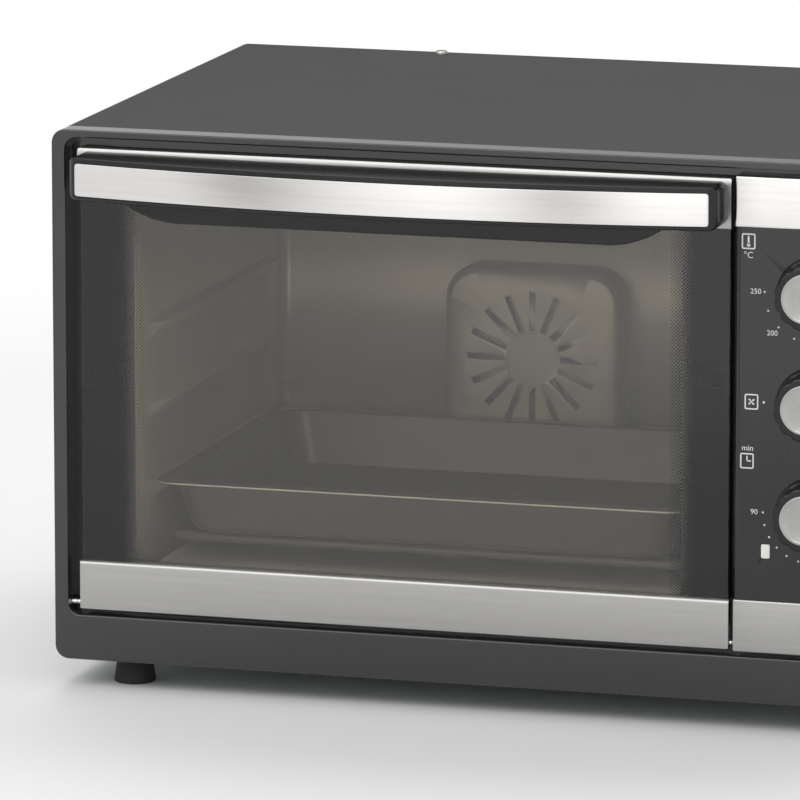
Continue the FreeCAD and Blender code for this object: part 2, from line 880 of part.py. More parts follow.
def fan_motor():
    """Motor of the fan: a round stack with a bearing boss and two mounting ears."""
    body = along_y(motor_radius, motor_front + motor_ear_sheet, motor_back, cavity_mid, fan_z)
    ear_half = motor_radius + motor_ear_reach
    ears = block(cavity_mid - ear_half, cavity_mid + ear_half, motor_front, motor_front + motor_ear_sheet,
                 fan_z - motor_ear_height / 2, fan_z + motor_ear_height / 2)
    boss = along_y(motor_boss_radius, motor_back, motor_back + motor_boss_length, cavity_mid, fan_z)
    bore = along_y(fan_shaft_radius + shaft_clearance, motor_front - past, motor_back - motor_bearing_end,
                   cavity_mid, fan_z)
    return body.fuse([ears, boss]).cut(bore).removeSplitter()


def lamp_box(clearance, y0, y1):
    """The space of the indicator lamp between two depths, grown by a clearance."""
    half_x = lamp_width / 2 + clearance
    half_z = lamp_height / 2 + clearance
    return block(lamp_x - half_x, lamp_x + half_x, y0, y1, lamp_z - half_z, lamp_z + half_z)


def fascia():
    """Moulded control fascia: hollow from behind, edges rounded, ends set back for the steel plates."""
    body = block(fascia_left, fascia_right, fascia_front, plate_front, fascia_bottom, fascia_top)
    body = body.makeFillet(fascia_edge, upright_edges(body, lambda point: near(point.y, fascia_front)))
    seat_front = fascia_front + fascia_plate_sheet
    inner = block(
        fascia_left + fascia_wall, fascia_right - fascia_wall, seat_front + fascia_wall, plate_front + past,
        fascia_bottom + fascia_wall, fascia_top - fascia_wall)
    body = body.cut(inner)
    seat_left = fascia_left + fascia_plate_sheet
    seat_right = fascia_right - fascia_plate_sheet
    fold_back = fascia_front + fascia_edge
    top_line = fascia_top - fascia_plate_top
    bottom_line = fascia_bottom + fascia_plate_bottom
    recesses = []
    recess_front = fascia_front - past
    for z0, z1 in ((top_line, fascia_top + past), (fascia_bottom - past, bottom_line)):
        recesses.append(block(fascia_left - past, fascia_right + past, recess_front, fold_back, z0, z1))
    seats = []
    seat_top = fascia_top - fascia_plate_sheet
    seat_bottom = fascia_bottom + fascia_plate_sheet
    for z0, z1 in ((top_line, seat_top), (seat_bottom, bottom_line)):
        seats.append(block(seat_left, seat_right, seat_front, fold_back + past, z0, z1))
    body = body.cut(recesses).fuse([seat.cut(inner) for seat in seats]).removeSplitter()
    shaft_hole = neck_radius + fascia_hole_clearance
    holes = [along_y(shaft_hole, front - past, plate_front, control_x, z) for z in control_heights]
    holes.append(lamp_box(lamp_clearance, front - past, plate_front))
    bush_hole_end = fascia_left + pin_bush_length + pin_clearance
    holes.append(along_x(pin_bush_radius + pin_clearance, fascia_left - past, bush_hole_end, pin_y, pin_z))
    holes.append(bush_flange(1, pin_clearance))
    return body.cut(holes)


def fascia_plate(z0, z1, closed_at_top):
    """Steel plate on one end of the fascia, with folded side, end and top or bottom edges."""
    plate_face = fascia_front - plate_proud
    outer = block(fascia_left, fascia_right, plate_face, fascia_front + fascia_edge, z0, z1)
    if closed_at_top:
        inner_z0 = z0 - past
        inner_z1 = z1 - fascia_plate_sheet
        level = z1
    else:
        inner_z0 = z0 + fascia_plate_sheet
        inner_z1 = z1 + past
        level = z0
    rim = edges_where(outer, lambda point: near(point.y, plate_face))
    folded = [edge for edge in rim
              if near(edge.Vertexes[0].X, edge.Vertexes[1].X) or near(edge.Vertexes[0].Z, level)]
    outer = outer.makeChamfer(fascia_plate_edge, folded)
    inner = block(
        fascia_left + fascia_plate_sheet, fascia_right - fascia_plate_sheet,
        fascia_front + fascia_plate_sheet, fascia_front + fascia_edge + past, inner_z0, inner_z1)
    return outer.cut(inner)


def indicator_lens():
    """Clear lens pressed into the fascia, with a collar behind it."""
    collar_front = fascia_front + fascia_plate_sheet + fascia_wall
    lens = lamp_box(0.0, fascia_front - lamp_proud, plate_front - past)
    collar = lamp_box(lamp_collar, collar_front, collar_front + lamp_collar_depth)
    return lens.fuse(collar).removeSplitter()


def lamp_holder():
    """Small holder behind the lens that carries the neon lamp and clips into the face plate."""
    holder = lamp_box(0.0, plate_front - past, plate_back + lamp_holder_length)
    flange = lamp_box(lamp_holder_flange, plate_front, plate_back)
    return holder.fuse(flange).removeSplitter()


def unit_neck(z):
    """Round neck of a control unit, through the face plate towards its knob."""
    return along_y(neck_radius, plate_back - neck_length, plate_back, control_x, z)


def shaft_bore(z):
    """The bore of a control unit that its shaft turns in."""
    return along_y(knob_shaft_radius + shaft_clearance, front, plate_back + shaft_tail, control_x, z)


def terminal_tab(x, y, z):
    """A level push-on terminal that sticks out backwards from a point."""
    half = terminal_tab_width / 2
    thick = terminal_tab_sheet / 2
    return block(x - half, x + half, y, y + terminal_tab_length, z - thick, z + thick)


def thermostat():
    """Round thermostat on a flat bracket, with two tab terminals behind."""
    z = control_heights[0]
    end_y = plate_back + thermostat_length
    body = along_y(thermostat_radius, plate_back + bracket_sheet, end_y, control_x, z)
    bracket = block(control_x - bracket_width / 2, control_x + bracket_width / 2, plate_back,
                    plate_back + bracket_sheet, z - bracket_height / 2, z + bracket_height / 2)
    tabs = [terminal_tab(control_x + side * thermostat_tab_pitch / 2, end_y, z) for side in (-1, 1)]
    return body.fuse([bracket, unit_neck(z)] + tabs).cut(shaft_bore(z)).removeSplitter()


def function_switch():
    """Rotary switch: a square body with two rows of terminals on its right side."""
    z = control_heights[1]
    half = switch_size / 2
    body = rounded_block(control_x - half, control_x + half, plate_back, plate_back + switch_length,
                         z - half, z + half, switch_corner)
    side_x = control_x + half
    tab_half = terminal_tab_width / 2
    thick = terminal_tab_sheet / 2
    tabs = []
    for depth in switch_deck_depths:
        y = plate_back + depth
        for row in (-1, 0, 1):
            tab_z = z + row * switch_tab_pitch
            tabs.append(block(side_x - thick, side_x + terminal_tab_length, y - thick, y + thick,
                              tab_z - tab_half, tab_z + tab_half))
    return body.fuse([unit_neck(z)] + tabs).cut(shaft_bore(z)).removeSplitter()


def timer_unit():
    """Clockwork timer: a boxed movement with a stud for its bell."""
    z = control_heights[2]
    end_y = plate_back + timer_length
    body = block(control_x - timer_width / 2, control_x + timer_width / 2, plate_back, end_y,
                 z - timer_height / 2, z + timer_height / 2)
    stud = along_y(timer_stud_radius, end_y, end_y + bell_depth, control_x, z)
    return body.fuse([unit_neck(z), stud]).cut(shaft_bore(z)).removeSplitter()


def timer_bell():
    """Steel bell behind the timer: a shallow cup that stands clear of it on the stud."""
    z = control_heights[2]
    start = plate_back + timer_length + bell_stand
    end = plate_back + timer_length + bell_depth
    cup = along_y(bell_radius, start, end, control_x, z)
    space = along_y(bell_radius - bell_sheet, start - past, end - bell_sheet, control_x, z)
    stud_hole = along_y(timer_stud_radius, start, end + past, control_x, z)
    return cup.cut([space, stud_hole])


def knob_planes():
    """Rear plane and front plane of the knobs."""
    rear = fascia_front - knob_gap
    return rear, rear - knob_height


def knob(z):
    """Knob with a skirt, a scalloped grip, a recess for the cap and a bore for the shaft."""
    rear, nose = knob_planes()
    skirt_front = rear - knob_skirt
    skirt = Part.makeCone(
        knob_radius, knob_radius - knob_skirt_taper, knob_skirt, vec(control_x, rear, z), vec(0, -1, 0))
    grip = along_y(grip_radius, nose, skirt_front, control_x, z)
    scallop_centre = grip_radius + knob_scallop_radius - knob_scallop_depth
    scallops = []
    for index in range(knob_scallops):
        angle = 2 * math.pi * index / knob_scallops
        x = control_x + scallop_centre * math.cos(angle)
        scallop_z = z + scallop_centre * math.sin(angle)
        scallops.append(along_y(knob_scallop_radius, nose - past, skirt_front + past, x, scallop_z))
    body = skirt.fuse(grip.cut(scallops))
    recess = along_y(cap_radius, nose - past, nose + cap_thickness, control_x, z)
    bore = along_y(knob_shaft_radius, rear - shaft_grip, rear + past, control_x, z)
    return body.cut([recess, bore]).removeSplitter()


def knob_cap(z):
    """Steel cap in the nose of a knob, with a raised pointer line."""
    nose = knob_planes()[1]
    face_y = nose - cap_proud
    cap = along_y(cap_radius, face_y, nose + cap_thickness, control_x, z)
    pointer_top = z + cap_radius - pointer_width / 2
    half = pointer_width / 2
    pointer = block(control_x - half, control_x + half, face_y - pointer_proud, nose,
                    pointer_top - pointer_length, pointer_top)
    return cap.fuse(pointer).removeSplitter()


def knob_shaft(z):
    """Shaft from inside the knob into its control unit."""
    shaft_front = knob_planes()[0] - shaft_grip
    shaft_back = plate_back + shaft_tail - shaft_end_gap
    return along_y(knob_shaft_radius, shaft_front, shaft_back, control_x, z)


def terminal_block():
    """Mains terminal block on the base pan, with three screw towers."""
    x = gland_x - terminal_offset
    y = back - terminal_inset
    low = bottom + sheet
    shoulder = low + terminal_base_height
    crown = shoulder + terminal_tower_height
    base = block(x - terminal_base_length / 2, x + terminal_base_length / 2,
                 y - terminal_base_width / 2, y + terminal_base_width / 2, low, shoulder)
    towers = []
    holes = []
    for index in (-1, 0, 1):
        mid_x = x + index * terminal_pitch
        towers.append(block(mid_x - terminal_tower_length / 2, mid_x + terminal_tower_length / 2,
                            y - terminal_tower_width / 2, y + terminal_tower_width / 2, shoulder, crown))
        hole_start = vec(mid_x, y, crown - terminal_screw_depth)
        holes.append(rod(terminal_screw_radius, terminal_screw_depth + past, hole_start, vec(0, 0, 1)))
    return base.fuse(towers).cut(holes).removeSplitter()


def cord_gland():
    """Inlet bush for the mains lead: flanges on both sides of the rear panel and a round bore."""
    inner_end = back - sheet - gland_flange - gland_neck
    outer_end = back + gland_flange
    neck = along_y(gland_radius - gland_clearance, inner_end, outer_end, gland_x, gland_z)
    flange_radius = gland_radius + gland_flange
    panel_face = back - sheet
    outer_flange = along_y(flange_radius, back, outer_end, gland_x, gland_z)
    inner_flange = along_y(flange_radius, panel_face - gland_flange, panel_face, gland_x, gland_z)
    bore = along_y(gland_bore, inner_end - past, outer_end + past, gland_x, gland_z)
    return neck.fuse([outer_flange, inner_flange]).cut(bore).removeSplitter()


def spacer_pin(side, clearance):
    """Square peg of a wall spacer through the rear panel, grown by a clearance as a cutter."""
    x = side * (casing_width / 2 - spacer_inset)
    z = top - spacer_drop
    half = spacer_peg / 2 + clearance
    return block(x - half, x + half, back - spacer_peg_length, back + spacer_wall, z - half, z + half)


def rear_spacer(side):
    """Spacer that keeps the oven off the wall: a plastic hook of U shape, held by a square peg."""
    x = side * (casing_width / 2 - spacer_inset)
    z = top - spacer_drop
    low_z = z - spacer_height / 2
    high_z = z + spacer_height / 2
    far = back + spacer_depth
    outer = block(x - spacer_width / 2, x + spacer_width / 2, back, far, low_z, high_z)
    rims = edges_where(outer, lambda point: near(point.y, far))
    level_rims = [edge for edge in rims if near(edge.Vertexes[0].Z, edge.Vertexes[1].Z)]
    outer = outer.makeFillet(spacer_edge, level_rims)
    space = block(x - spacer_width / 2 - past, x + spacer_width / 2 + past, back + spacer_wall,
                  far - spacer_wall, low_z + spacer_wall, high_z + past)
    return outer.cut(space).fuse(spacer_pin(side, 0.0)).removeSplitter()


def trim_channel(z0, z1, open_at_top):
    """Folded steel channel over one edge of the glass, with rounded corners and a hemmed inner edge.

    The channel that opens upwards has its front edge rolled back towards the glass.
    """
    outer = block(door_left, door_right, door_front, door_back, z0, z1)
    hem_depth = trim_roll - trim_sheet if open_at_top else trim_sheet
    for z, radius in ((z0, trim_edge), (z1, trim_roll if open_at_top else trim_edge)):
        rim = edges_where(outer, lambda point: near(point.y, door_front) and near(point.z, z))
        outer = outer.makeFillet(radius, rim)
    corners = rounded_block(
        door_left, door_right, door_front - past, door_back + past, z0, z1, trim_corner)
    outer = outer.common(corners)
    inner_front = door_front + trim_sheet
    inner_back = door_back - trim_sheet
    if open_at_top:
        space = (z0 + trim_sheet, z1 + past)
        hem_low = z1 - trim_hem
    else:
        space = (z0 - past, z1 - trim_sheet)
        hem_low = z0
    inner = block(door_left - past, door_right + past, inner_front, inner_back, *space)
    hem = block(door_left + trim_corner, door_right - trim_corner, inner_front, inner_front + hem_depth,
                hem_low, hem_low + trim_hem)
    return outer.cut(inner).fuse(hem.common(outer))


def door_top_trim():
    """Steel channel over the top of the glass, drilled for the handle screws."""
    trim = trim_channel(door_top - top_trim_height, door_top, False)
    screw_hole_radius = screw_shank_radius + screw_clearance
    holes = []
    for seat, into in handle_screw_places():
        holes.append(rod(screw_hole_radius, trim_sheet + 2 * past, seat - into * past, into))
    return trim.cut(holes).removeSplitter()


def door_bottom_trim():
    """Steel channel under the glass that also holds the hinge blocks."""
    return trim_channel(door_bottom, door_bottom + bottom_trim_height, True).removeSplitter()


def door_glass():
    """Tempered pane over the whole width of the door, ground along its edges."""
    pane = block(door_left + glass_side_inset, door_right - glass_side_inset, glass_front, glass_back,
                 glass_bottom, glass_top)
    return pane.makeChamfer(glass_edge, upright_edges(pane, lambda point: True))


def glass_packing():
    """Two silicone strips, one round the top edge and one round the bottom edge of the glass."""
    upper = packing_strip(glass_top - packing_depth, glass_top, glass_top)
    lower = packing_strip(glass_bottom, glass_bottom + packing_depth, glass_bottom)
    return Part.makeCompound([upper, lower])


def packing_strip(z0, z1, glass_edge_z):
    """A strip in front of and behind the glass, closed round the glass edge."""
    x0 = door_left + 2 * trim_corner
    x1 = door_right - 2 * trim_corner
    y0 = door_front + 2 * trim_sheet
    y1 = door_back - trim_sheet
    strip = block(x0, x1, y0, glass_front, z0, z1)
    back_strip = block(x0, x1, glass_back, y1, z0, z1)
    if near(glass_edge_z, z1):
        cap = block(x0, x1, y0, y1, z1, z1 + packing_cap)
    else:
        cap = block(x0, x1, y0, y1, z0 - packing_cap, z0)
    return strip.fuse([back_strip, cap]).removeSplitter()


def handle_plan(inset, z):
    """Plan outline of the handle: straight back, short ends and a bowed front."""
    half = handle_half - inset
    end_y = door_front - handle_end_reach + inset
    mid_y = door_front - handle_reach + inset
    back_y = door_front
    right_back = vec(door_mid + half, back_y, z)
    right_end = vec(door_mid + half, end_y, z)
    left_end = vec(door_mid - half, end_y, z)
    left_back = vec(door_mid - half, back_y, z)
    return Part.Wire([
        Part.makeLine(right_back, right_end),
        Part.Arc(right_end, vec(door_mid, mid_y, z), left_end).toShape(),
        Part.makeLine(left_end, left_back),
        Part.makeLine(left_back, right_back),
    ])


def grip_lip():
    """Straight lip below the handle: flat along the bottom and swept up to both tips."""
    y0 = door_front - lip_reach - lip_thickness / 2
    low = handle_bottom - lip_drop
    half_flat = lip_flat / 2
    high = handle_bottom + handle_wall / 2
    rise = high - low
    run = math.sqrt(lip_end_radius ** 2 - (lip_end_radius - rise) ** 2)
    half_rise = lip_end_radius * (1 - math.cos(math.asin(run / 2 / lip_end_radius)))

    def tip_arc(side):
        start = vec(door_mid + side * half_flat, y0, low)
        middle = vec(door_mid + side * (half_flat + run / 2), y0, low + half_rise)
        tip = vec(door_mid + side * (half_flat + run), y0, high)
        return Part.Arc(start, middle, tip).toShape(), start, tip

    right_arc, right_start, right_tip = tip_arc(1)
    left_arc, left_start, left_tip = tip_arc(-1)
    outline = Part.Wire([
        Part.makeLine(left_start, right_start), right_arc, Part.makeLine(right_tip, left_tip), left_arc])
    lip = Part.Face(outline).extrude(vec(0, lip_thickness, 0))
    lower_rim = [edge for edge in lip.Edges if edge.BoundBox.ZMin < handle_bottom - handle_wall
                 and edge.BoundBox.YLength < lip_edge / 2]
    return lip.makeChamfer(lip_edge, lower_rim)


def handle_posts():
    """Screw posts inside the handle, as long as the bow is deep where they stand."""
    posts = []
    for seat, into in handle_screw_places():
        length = reach_at(seat.x - door_mid) - handle_wall / 2
        posts.append(rod(handle_post_radius, length, vec(seat.x, door_front, seat.z), into))
    return posts


def reach_at(offset):
    """How far the bowed face stands out from the door at a distance from the middle."""
    bow = handle_reach - handle_end_reach
    radius = (handle_half ** 2 + bow ** 2) / (2 * bow)
    return handle_reach - radius + math.sqrt(radius ** 2 - offset ** 2)


def handle():
    """Bowed plastic handle: hollow towards the door, grip lip below, recess for the inlay."""
    body = Part.Face(handle_plan(0.0, handle_bottom)).extrude(vec(0, 0, handle_height))
    body = body.makeFillet(handle_corner, upright_edges(body, lambda point: point.y < door_front - past))
    rims = [edge for edge in body.Edges
            if edge.BoundBox.ZLength < handle_edge / 2 and edge.BoundBox.YMin < door_front - past]
    body = body.makeChamfer(handle_edge, rims)
    space = Part.Face(handle_plan(handle_wall, handle_bottom + handle_wall)).extrude(
        vec(0, 0, handle_height - 2 * handle_wall))
    body = body.cut([space, mouth_of_handle()]).fuse([grip_lip()] + handle_posts())
    holes = []
    for seat, into in handle_screw_places():
        holes.append(rod(screw_shank_radius, screw_length, seat, into))
    return body.cut([inlay_body(0.0), gap_above_handle()] + holes).removeSplitter()


def gap_above_handle():
    """Bowed cut in the back of the top wall, so that the middle of the handle stands off the door."""
    z = handle_top - handle_wall - past
    half = handle_gap_length / 2
    left = vec(door_mid - half, door_front, z)
    right = vec(door_mid + half, door_front, z)
    back = vec(0, past, 0)
    outline = Part.Wire([
        Part.makeLine(left, left + back),
        Part.makeLine(left + back, right + back),
        Part.makeLine(right + back, right),
        Part.Arc(right, vec(door_mid, door_front - handle_gap, z), left).toShape(),
    ])
    return Part.Face(outline).extrude(vec(0, 0, handle_wall + 2 * past))


def mouth_of_handle():
    """The open back of the hollow handle, through the plane that seats on the door."""
    half = handle_half - handle_wall
    return block(door_mid - half, door_mid + half, door_front - handle_wall, door_front + past,
                 handle_bottom + handle_wall, handle_top - handle_wall)


def inlay_body(lift):
    """The strip that fills the recess on the bowed face, lifted outwards by a set amount."""
    z0 = handle_bottom + inlay_margin_bottom
    z1 = handle_top - inlay_margin_top
    outer = Part.Face(handle_plan(-lift, z0)).extrude(vec(0, 0, z1 - z0))
    inner = Part.Face(handle_plan(inlay_sink, z0 - past)).extrude(vec(0, 0, z1 - z0 + 2 * past))
    half = handle_half - inlay_side_inset
    window = rounded_block(door_mid - half, door_mid + half, door_front - 2 * handle_reach,
                           door_front - handle_end_reach + handle_corner, z0, z1, inlay_corner)
    return outer.cut(inner).common(window)


def handle_inlay():
    """Brushed steel strip let into the bowed face of the handle."""
    return inlay_body(inlay_lift)


def hinge_pin(side):
    """Steel pin from the hinge block through the gap into its bush, with a groove for a clip."""
    edge_x = door_left if side < 0 else door_right
    gap = door_gap_side if side < 0 else door_to_fascia
    inner = edge_x - side * pin_inside
    outer = edge_x + side * (gap + pin_bush_length - pin_end_gap)
    pin = along_x(pin_radius, min(inner, outer), max(inner, outer), pin_y, pin_z)
    groove_mid = edge_x + side * gap * pin_groove_share
    groove_half = pin_groove_width / 2
    groove = along_x(pin_radius + past, groove_mid - groove_half, groove_mid + groove_half, pin_y, pin_z)
    core = along_x(pin_radius - pin_groove_depth, groove_mid - past, groove_mid + past, pin_y, pin_z)
    return pin.cut(groove.cut(core))


def bush_flange(side, clearance):
    """Square flange of a hinge bush, behind the wall, grown by a clearance where it is used as a cutter."""
    near_x = pocket_left - frame_wall if side < 0 else fascia_left + fascia_wall
    far_x = near_x + side * (pin_bush_rim + clearance)
    half = pin_bush_flange + clearance
    return block(min(near_x, far_x), max(near_x, far_x), pin_y - half, pin_y + half,
                 pin_z - pin_bush_radius - clearance, pin_z + half)


def hinge_bush(side):
    """Bush for a hinge pin in the wall beside the door, with a square flange behind the wall."""
    wall_x = pocket_left if side < 0 else fascia_left
    far_x = wall_x + side * pin_bush_length
    sleeve = along_x(pin_bush_radius, min(wall_x, far_x), max(wall_x, far_x), pin_y, pin_z)
    bore = along_x(hole_radius, min(wall_x, far_x) - past, max(wall_x, far_x) + past, pin_y, pin_z)
    return sleeve.fuse(bush_flange(side, 0.0)).cut(bore).removeSplitter()


def hinge_block(side):
    """Steel block in the bottom trim that holds the hinge pin and carries the stay."""
    edge_x = (door_left if side < 0 else door_right) - side * trim_corner
    inner_x = edge_x - side * (block_length + stay_inset)
    low_z = door_bottom + trim_sheet
    body = block(min(edge_x, inner_x), max(edge_x, inner_x), door_front + trim_sheet, door_back - trim_sheet,
                 low_z, low_z + block_height)
    bore_end = edge_x - side * pin_inside
    bore = along_x(pin_radius, min(edge_x, bore_end), max(edge_x, bore_end), pin_y, pin_z)
    return body.cut(bore)


def ring_sector(radius, width, from_angle, to_angle, x0, x1):
    """Part of a flat ring round the hinge axis; angles run from straight up towards the back."""
    def at(distance, angle):
        turn = math.radians(angle)
        return vec(x0, pin_y + distance * math.sin(turn), pin_z + distance * math.cos(turn))

    inner = radius - width / 2
    outer = radius + width / 2
    middle = (from_angle + to_angle) / 2
    edges = [
        Part.Arc(at(outer, from_angle), at(outer, middle), at(outer, to_angle)).toShape(),
        Part.makeLine(at(outer, to_angle), at(inner, to_angle)),
        Part.Arc(at(inner, to_angle), at(inner, middle), at(inner, from_angle)).toShape(),
        Part.makeLine(at(inner, from_angle), at(outer, from_angle)),
    ]
    return Part.Face(Part.Wire(edges)).extrude(vec(x1 - x0, 0, 0))


def door_stay(side):
    """Arc-shaped stay round the hinge axis, ending in a stop that meets the face plate."""
    x = stay_x["left" if side < 0 else "right"]
    x0 = x - stay_sheet / 2
    x1 = x + stay_sheet / 2
    inner_radius = stay_radius - stay_width / 2
    outer_radius = stay_radius + stay_width / 2
    start_turn = math.asin((door_back - pin_y + stay_seat) / inner_radius)
    arc = ring_sector(stay_radius, stay_width, math.degrees(start_turn), stay_stop_angle, x0, x1)
    stop = ring_sector(
        stay_radius, stay_width + 2 * stay_stop, stay_stop_angle, stay_stop_angle + stay_stop_span, x0, x1)
    z_low = pin_z + inner_radius * math.cos(start_turn) - stay_tab_margin
    z_high = min(pin_z + outer_radius * math.cos(start_turn), door_bottom + bottom_trim_height)
    tab = block(x - stay_tab_half, x + stay_tab_half, door_back, door_back + stay_tab_sheet, z_low, z_high)
    return arc.fuse([stop, tab]).removeSplitter()


def casing_screws():
    """Screws along the lower edges and round the rear edge of the casing."""
    places = casing_screw_places() + rear_screw_places()
    return Part.makeCompound([screw(*place) for place in places])


def handle_screws():
    """Screws from inside the top trim into the handle."""
    screws = []
    for seat, into in handle_screw_places():
        head = rod(handle_screw_head_radius, handle_screw_head_height, seat, into * -1)
        shank = rod(screw_shank_radius, screw_length, seat, into)
        screws.append(head.fuse(shank).removeSplitter())
    return Part.makeCompound(screws)


def all_nodes():
    """Every sub-part by its name."""
    nodes = {
        "front_frame": front_frame(),
        "cavity_face_plate": cavity_face_plate(),
        "outer_casing": outer_casing(),
        "rear_panel": rear_panel(),
        "base_pan": base_pan(),
        "cavity_left_wall": cavity_side_wall(-1),
        "cavity_right_wall": cavity_side_wall(1),
        "cavity_roof": cavity_roof(),
        "cavity_floor": cavity_floor(),
        "cavity_rear_wall": cavity_rear_wall(),
        "cavity_support": cavity_support(),
        "upper_heating_element": heating_element(upper_element_z),
        "lower_heating_element": heating_element(lower_element_z),
        "element_bushes": element_bushes(),
        "baking_tray": baking_tray(),
        "crumb_tray": crumb_tray(),
        "fan_cover": fan_cover(),
        "fan_wheel": fan_wheel(),
        "fan_shaft": fan_shaft(),
        "fan_motor": fan_motor(),
        "fascia": fascia(),
        "fascia_top_plate": fascia_plate(fascia_top - fascia_plate_top, fascia_top, True),
        "fascia_bottom_plate": fascia_plate(fascia_bottom, fascia_bottom + fascia_plate_bottom, False),
        "indicator_lens": indicator_lens(),
        "lamp_holder": lamp_holder(),
        "thermostat": thermostat(),
        "function_switch": function_switch(),
        "timer_unit": timer_unit(),
        "timer_bell": timer_bell(),
        "terminal_block": terminal_block(),
        "cord_gland": cord_gland(),
        "casing_screws": casing_screws(),
        "door_glass": door_glass(),
        "door_top_trim": door_top_trim(),
        "door_bottom_trim": door_bottom_trim(),
        "glass_packing": glass_packing(),
        "handle": handle(),
        "handle_inlay": handle_inlay(),
        "handle_screws": handle_screws(),
        "hinge_bushes": Part.makeCompound([hinge_bush(-1), hinge_bush(1)]),
        "hinge_blocks": Part.makeCompound([hinge_block(-1), hinge_block(1)]),
        "wall_spacers": Part.makeCompound([rear_spacer(-1), rear_spacer(1)]),
    }
    for name, side in (("left", -1), ("right", 1)):
        nodes["hinge_pin_" + name] = hinge_pin(side)
        nodes["door_stay_" + name] = door_stay(side)
    for name, (x, y) in foot_places().items():
        nodes["foot_" + name] = foot(x, y)
    for name, z in zip(("temperature", "function", "timer"), control_heights):
        nodes[name + "_knob"] = knob(z)
        nodes[name + "_knob_cap"] = knob_cap(z)
        nodes[name + "_shaft"] = knob_shaft(z)
    return nodes


os.makedirs("parts", exist_ok=True)
for node_name, shape in all_nodes().items():
    shape.exportStep("parts/" + node_name + ".step")
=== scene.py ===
"""Electric countertop oven with a drop-down glass door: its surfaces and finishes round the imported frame.

Shapes are worked out in millimetres and turned into metres when a mesh is made.
"""

import json
import logging
import math
from dataclasses import dataclass, field, replace
from enum import Enum
from functools import partial
from typing import Iterable, Optional, Sequence, Union

import bmesh
import bpy
import numpy as np
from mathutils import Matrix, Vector


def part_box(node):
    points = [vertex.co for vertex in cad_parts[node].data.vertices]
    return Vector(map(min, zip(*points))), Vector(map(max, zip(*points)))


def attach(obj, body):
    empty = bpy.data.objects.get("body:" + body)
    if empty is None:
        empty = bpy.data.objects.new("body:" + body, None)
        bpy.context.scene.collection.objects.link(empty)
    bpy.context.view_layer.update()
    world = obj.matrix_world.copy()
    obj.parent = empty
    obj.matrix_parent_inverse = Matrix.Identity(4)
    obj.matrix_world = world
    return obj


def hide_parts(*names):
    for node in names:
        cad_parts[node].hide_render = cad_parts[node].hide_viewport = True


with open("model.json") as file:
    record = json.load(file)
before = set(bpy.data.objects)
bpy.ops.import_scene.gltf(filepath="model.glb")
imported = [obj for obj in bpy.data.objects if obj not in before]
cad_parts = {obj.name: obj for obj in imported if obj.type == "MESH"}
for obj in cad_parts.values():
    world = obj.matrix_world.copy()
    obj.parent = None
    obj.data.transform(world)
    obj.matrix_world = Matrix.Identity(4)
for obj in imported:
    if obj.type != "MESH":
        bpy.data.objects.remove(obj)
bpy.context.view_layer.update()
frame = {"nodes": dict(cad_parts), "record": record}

MM = 0.001
FOLD_SLANT = 0.05
CAP_MEAN_RADIUS = 9 * MM
LOG = logging.getLogger("oven")
Node = bpy.types.Node
Socket = bpy.types.NodeSocket
Tree = bpy.types.NodeTree
Shape = bpy.types.Object


# Shapes


def box_mm(node: str) -> tuple[np.ndarray, np.ndarray]:
    """Lowest and highest corner of a frame node, in millimetres."""
    low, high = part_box(node)
    return np.array(low) / MM, np.array(high) / MM


def span(node: str) -> tuple[np.ndarray, np.ndarray]:
    """Middle and half size of a frame node, in millimetres."""
    low, high = box_mm(node)
    return (low + high) / 2, (high - low) / 2


class Plane(Enum):
    """The plane that a loop lies in: where its two directions and its depth go in X, Y and Z."""

    FRONT = (0, 2, 1)
    LEVEL = (0, 1, 2)
    SIDE = (1, 2, 0)

    def lift(self, across: np.ndarray, up: np.ndarray, depth: np.ndarray) -> np.ndarray:
        """Puts the three coordinates of a loop into X, Y and Z order."""
        values = np.broadcast_arrays(across, up, depth)
        points = np.empty(values[0].shape + (3,))
        points[..., list(self.value)] = np.stack(values, axis=-1)
        return points


@dataclass
class Patch:
    """Points in millimetres and the faces between them."""

    points: np.ndarray
    faces: list

    @staticmethod
    def join(patches: Iterable["Patch"]) -> "Patch":
        """Puts several patches into one, each with its own points."""
        points, faces, start = [], [], 0
        for patch in patches:
            points.append(patch.points)
            faces.extend([[start + corner for corner in face] for face in patch.faces])
            start += len(patch.points)
        return Patch(np.vstack(points), faces)

    def moved(self, basis: np.ndarray, origin: Sequence[float]) -> "Patch":
        """The patch turned by the rows of a basis and then shifted."""
        return Patch(self.points @ basis + np.array(origin), self.faces)


def loft(rings: np.ndarray, closed: bool = True, joined: bool = False, caps: bool = True) -> Patch:
    """Skin over a row of loops: point k of one loop joins point k of the next.

    Args:
        rings: loops as rows of points, shape (loops, points, 3).
        closed: whether each loop runs back to its first point.
        joined: whether the last loop joins the first.
        caps: whether the two end loops are filled.

    Returns:
        The skin as a patch.
    """
    rows, count = rings.shape[:2]
    index = np.arange(rows * count).reshape(rows, count)
    if joined:
        index = np.vstack([index, index[:1]])
    if closed:
        index = np.hstack([index, index[:, :1]])
    quads = np.stack([index[:-1, :-1], index[:-1, 1:], index[1:, 1:], index[1:, :-1]], axis=-1)
    faces = quads.reshape(-1, 4).tolist()
    if caps and closed and not joined:
        faces.append(list(range(count))[::-1])
        faces.append(list(range((rows - 1) * count, rows * count)))
    return Patch(rings.reshape(-1, 3), faces)


def arc(centre: Sequence[float], radius: float, start: float, end: float, steps: int = 6) -> np.ndarray:
    """Points on a circle: centre plus radius times cosine and sine, from one angle to another in degrees."""
    turn = np.radians(np.linspace(start, end, steps + 1))
    return np.array(centre) + radius * np.stack([np.cos(turn), np.sin(turn)], axis=-1)


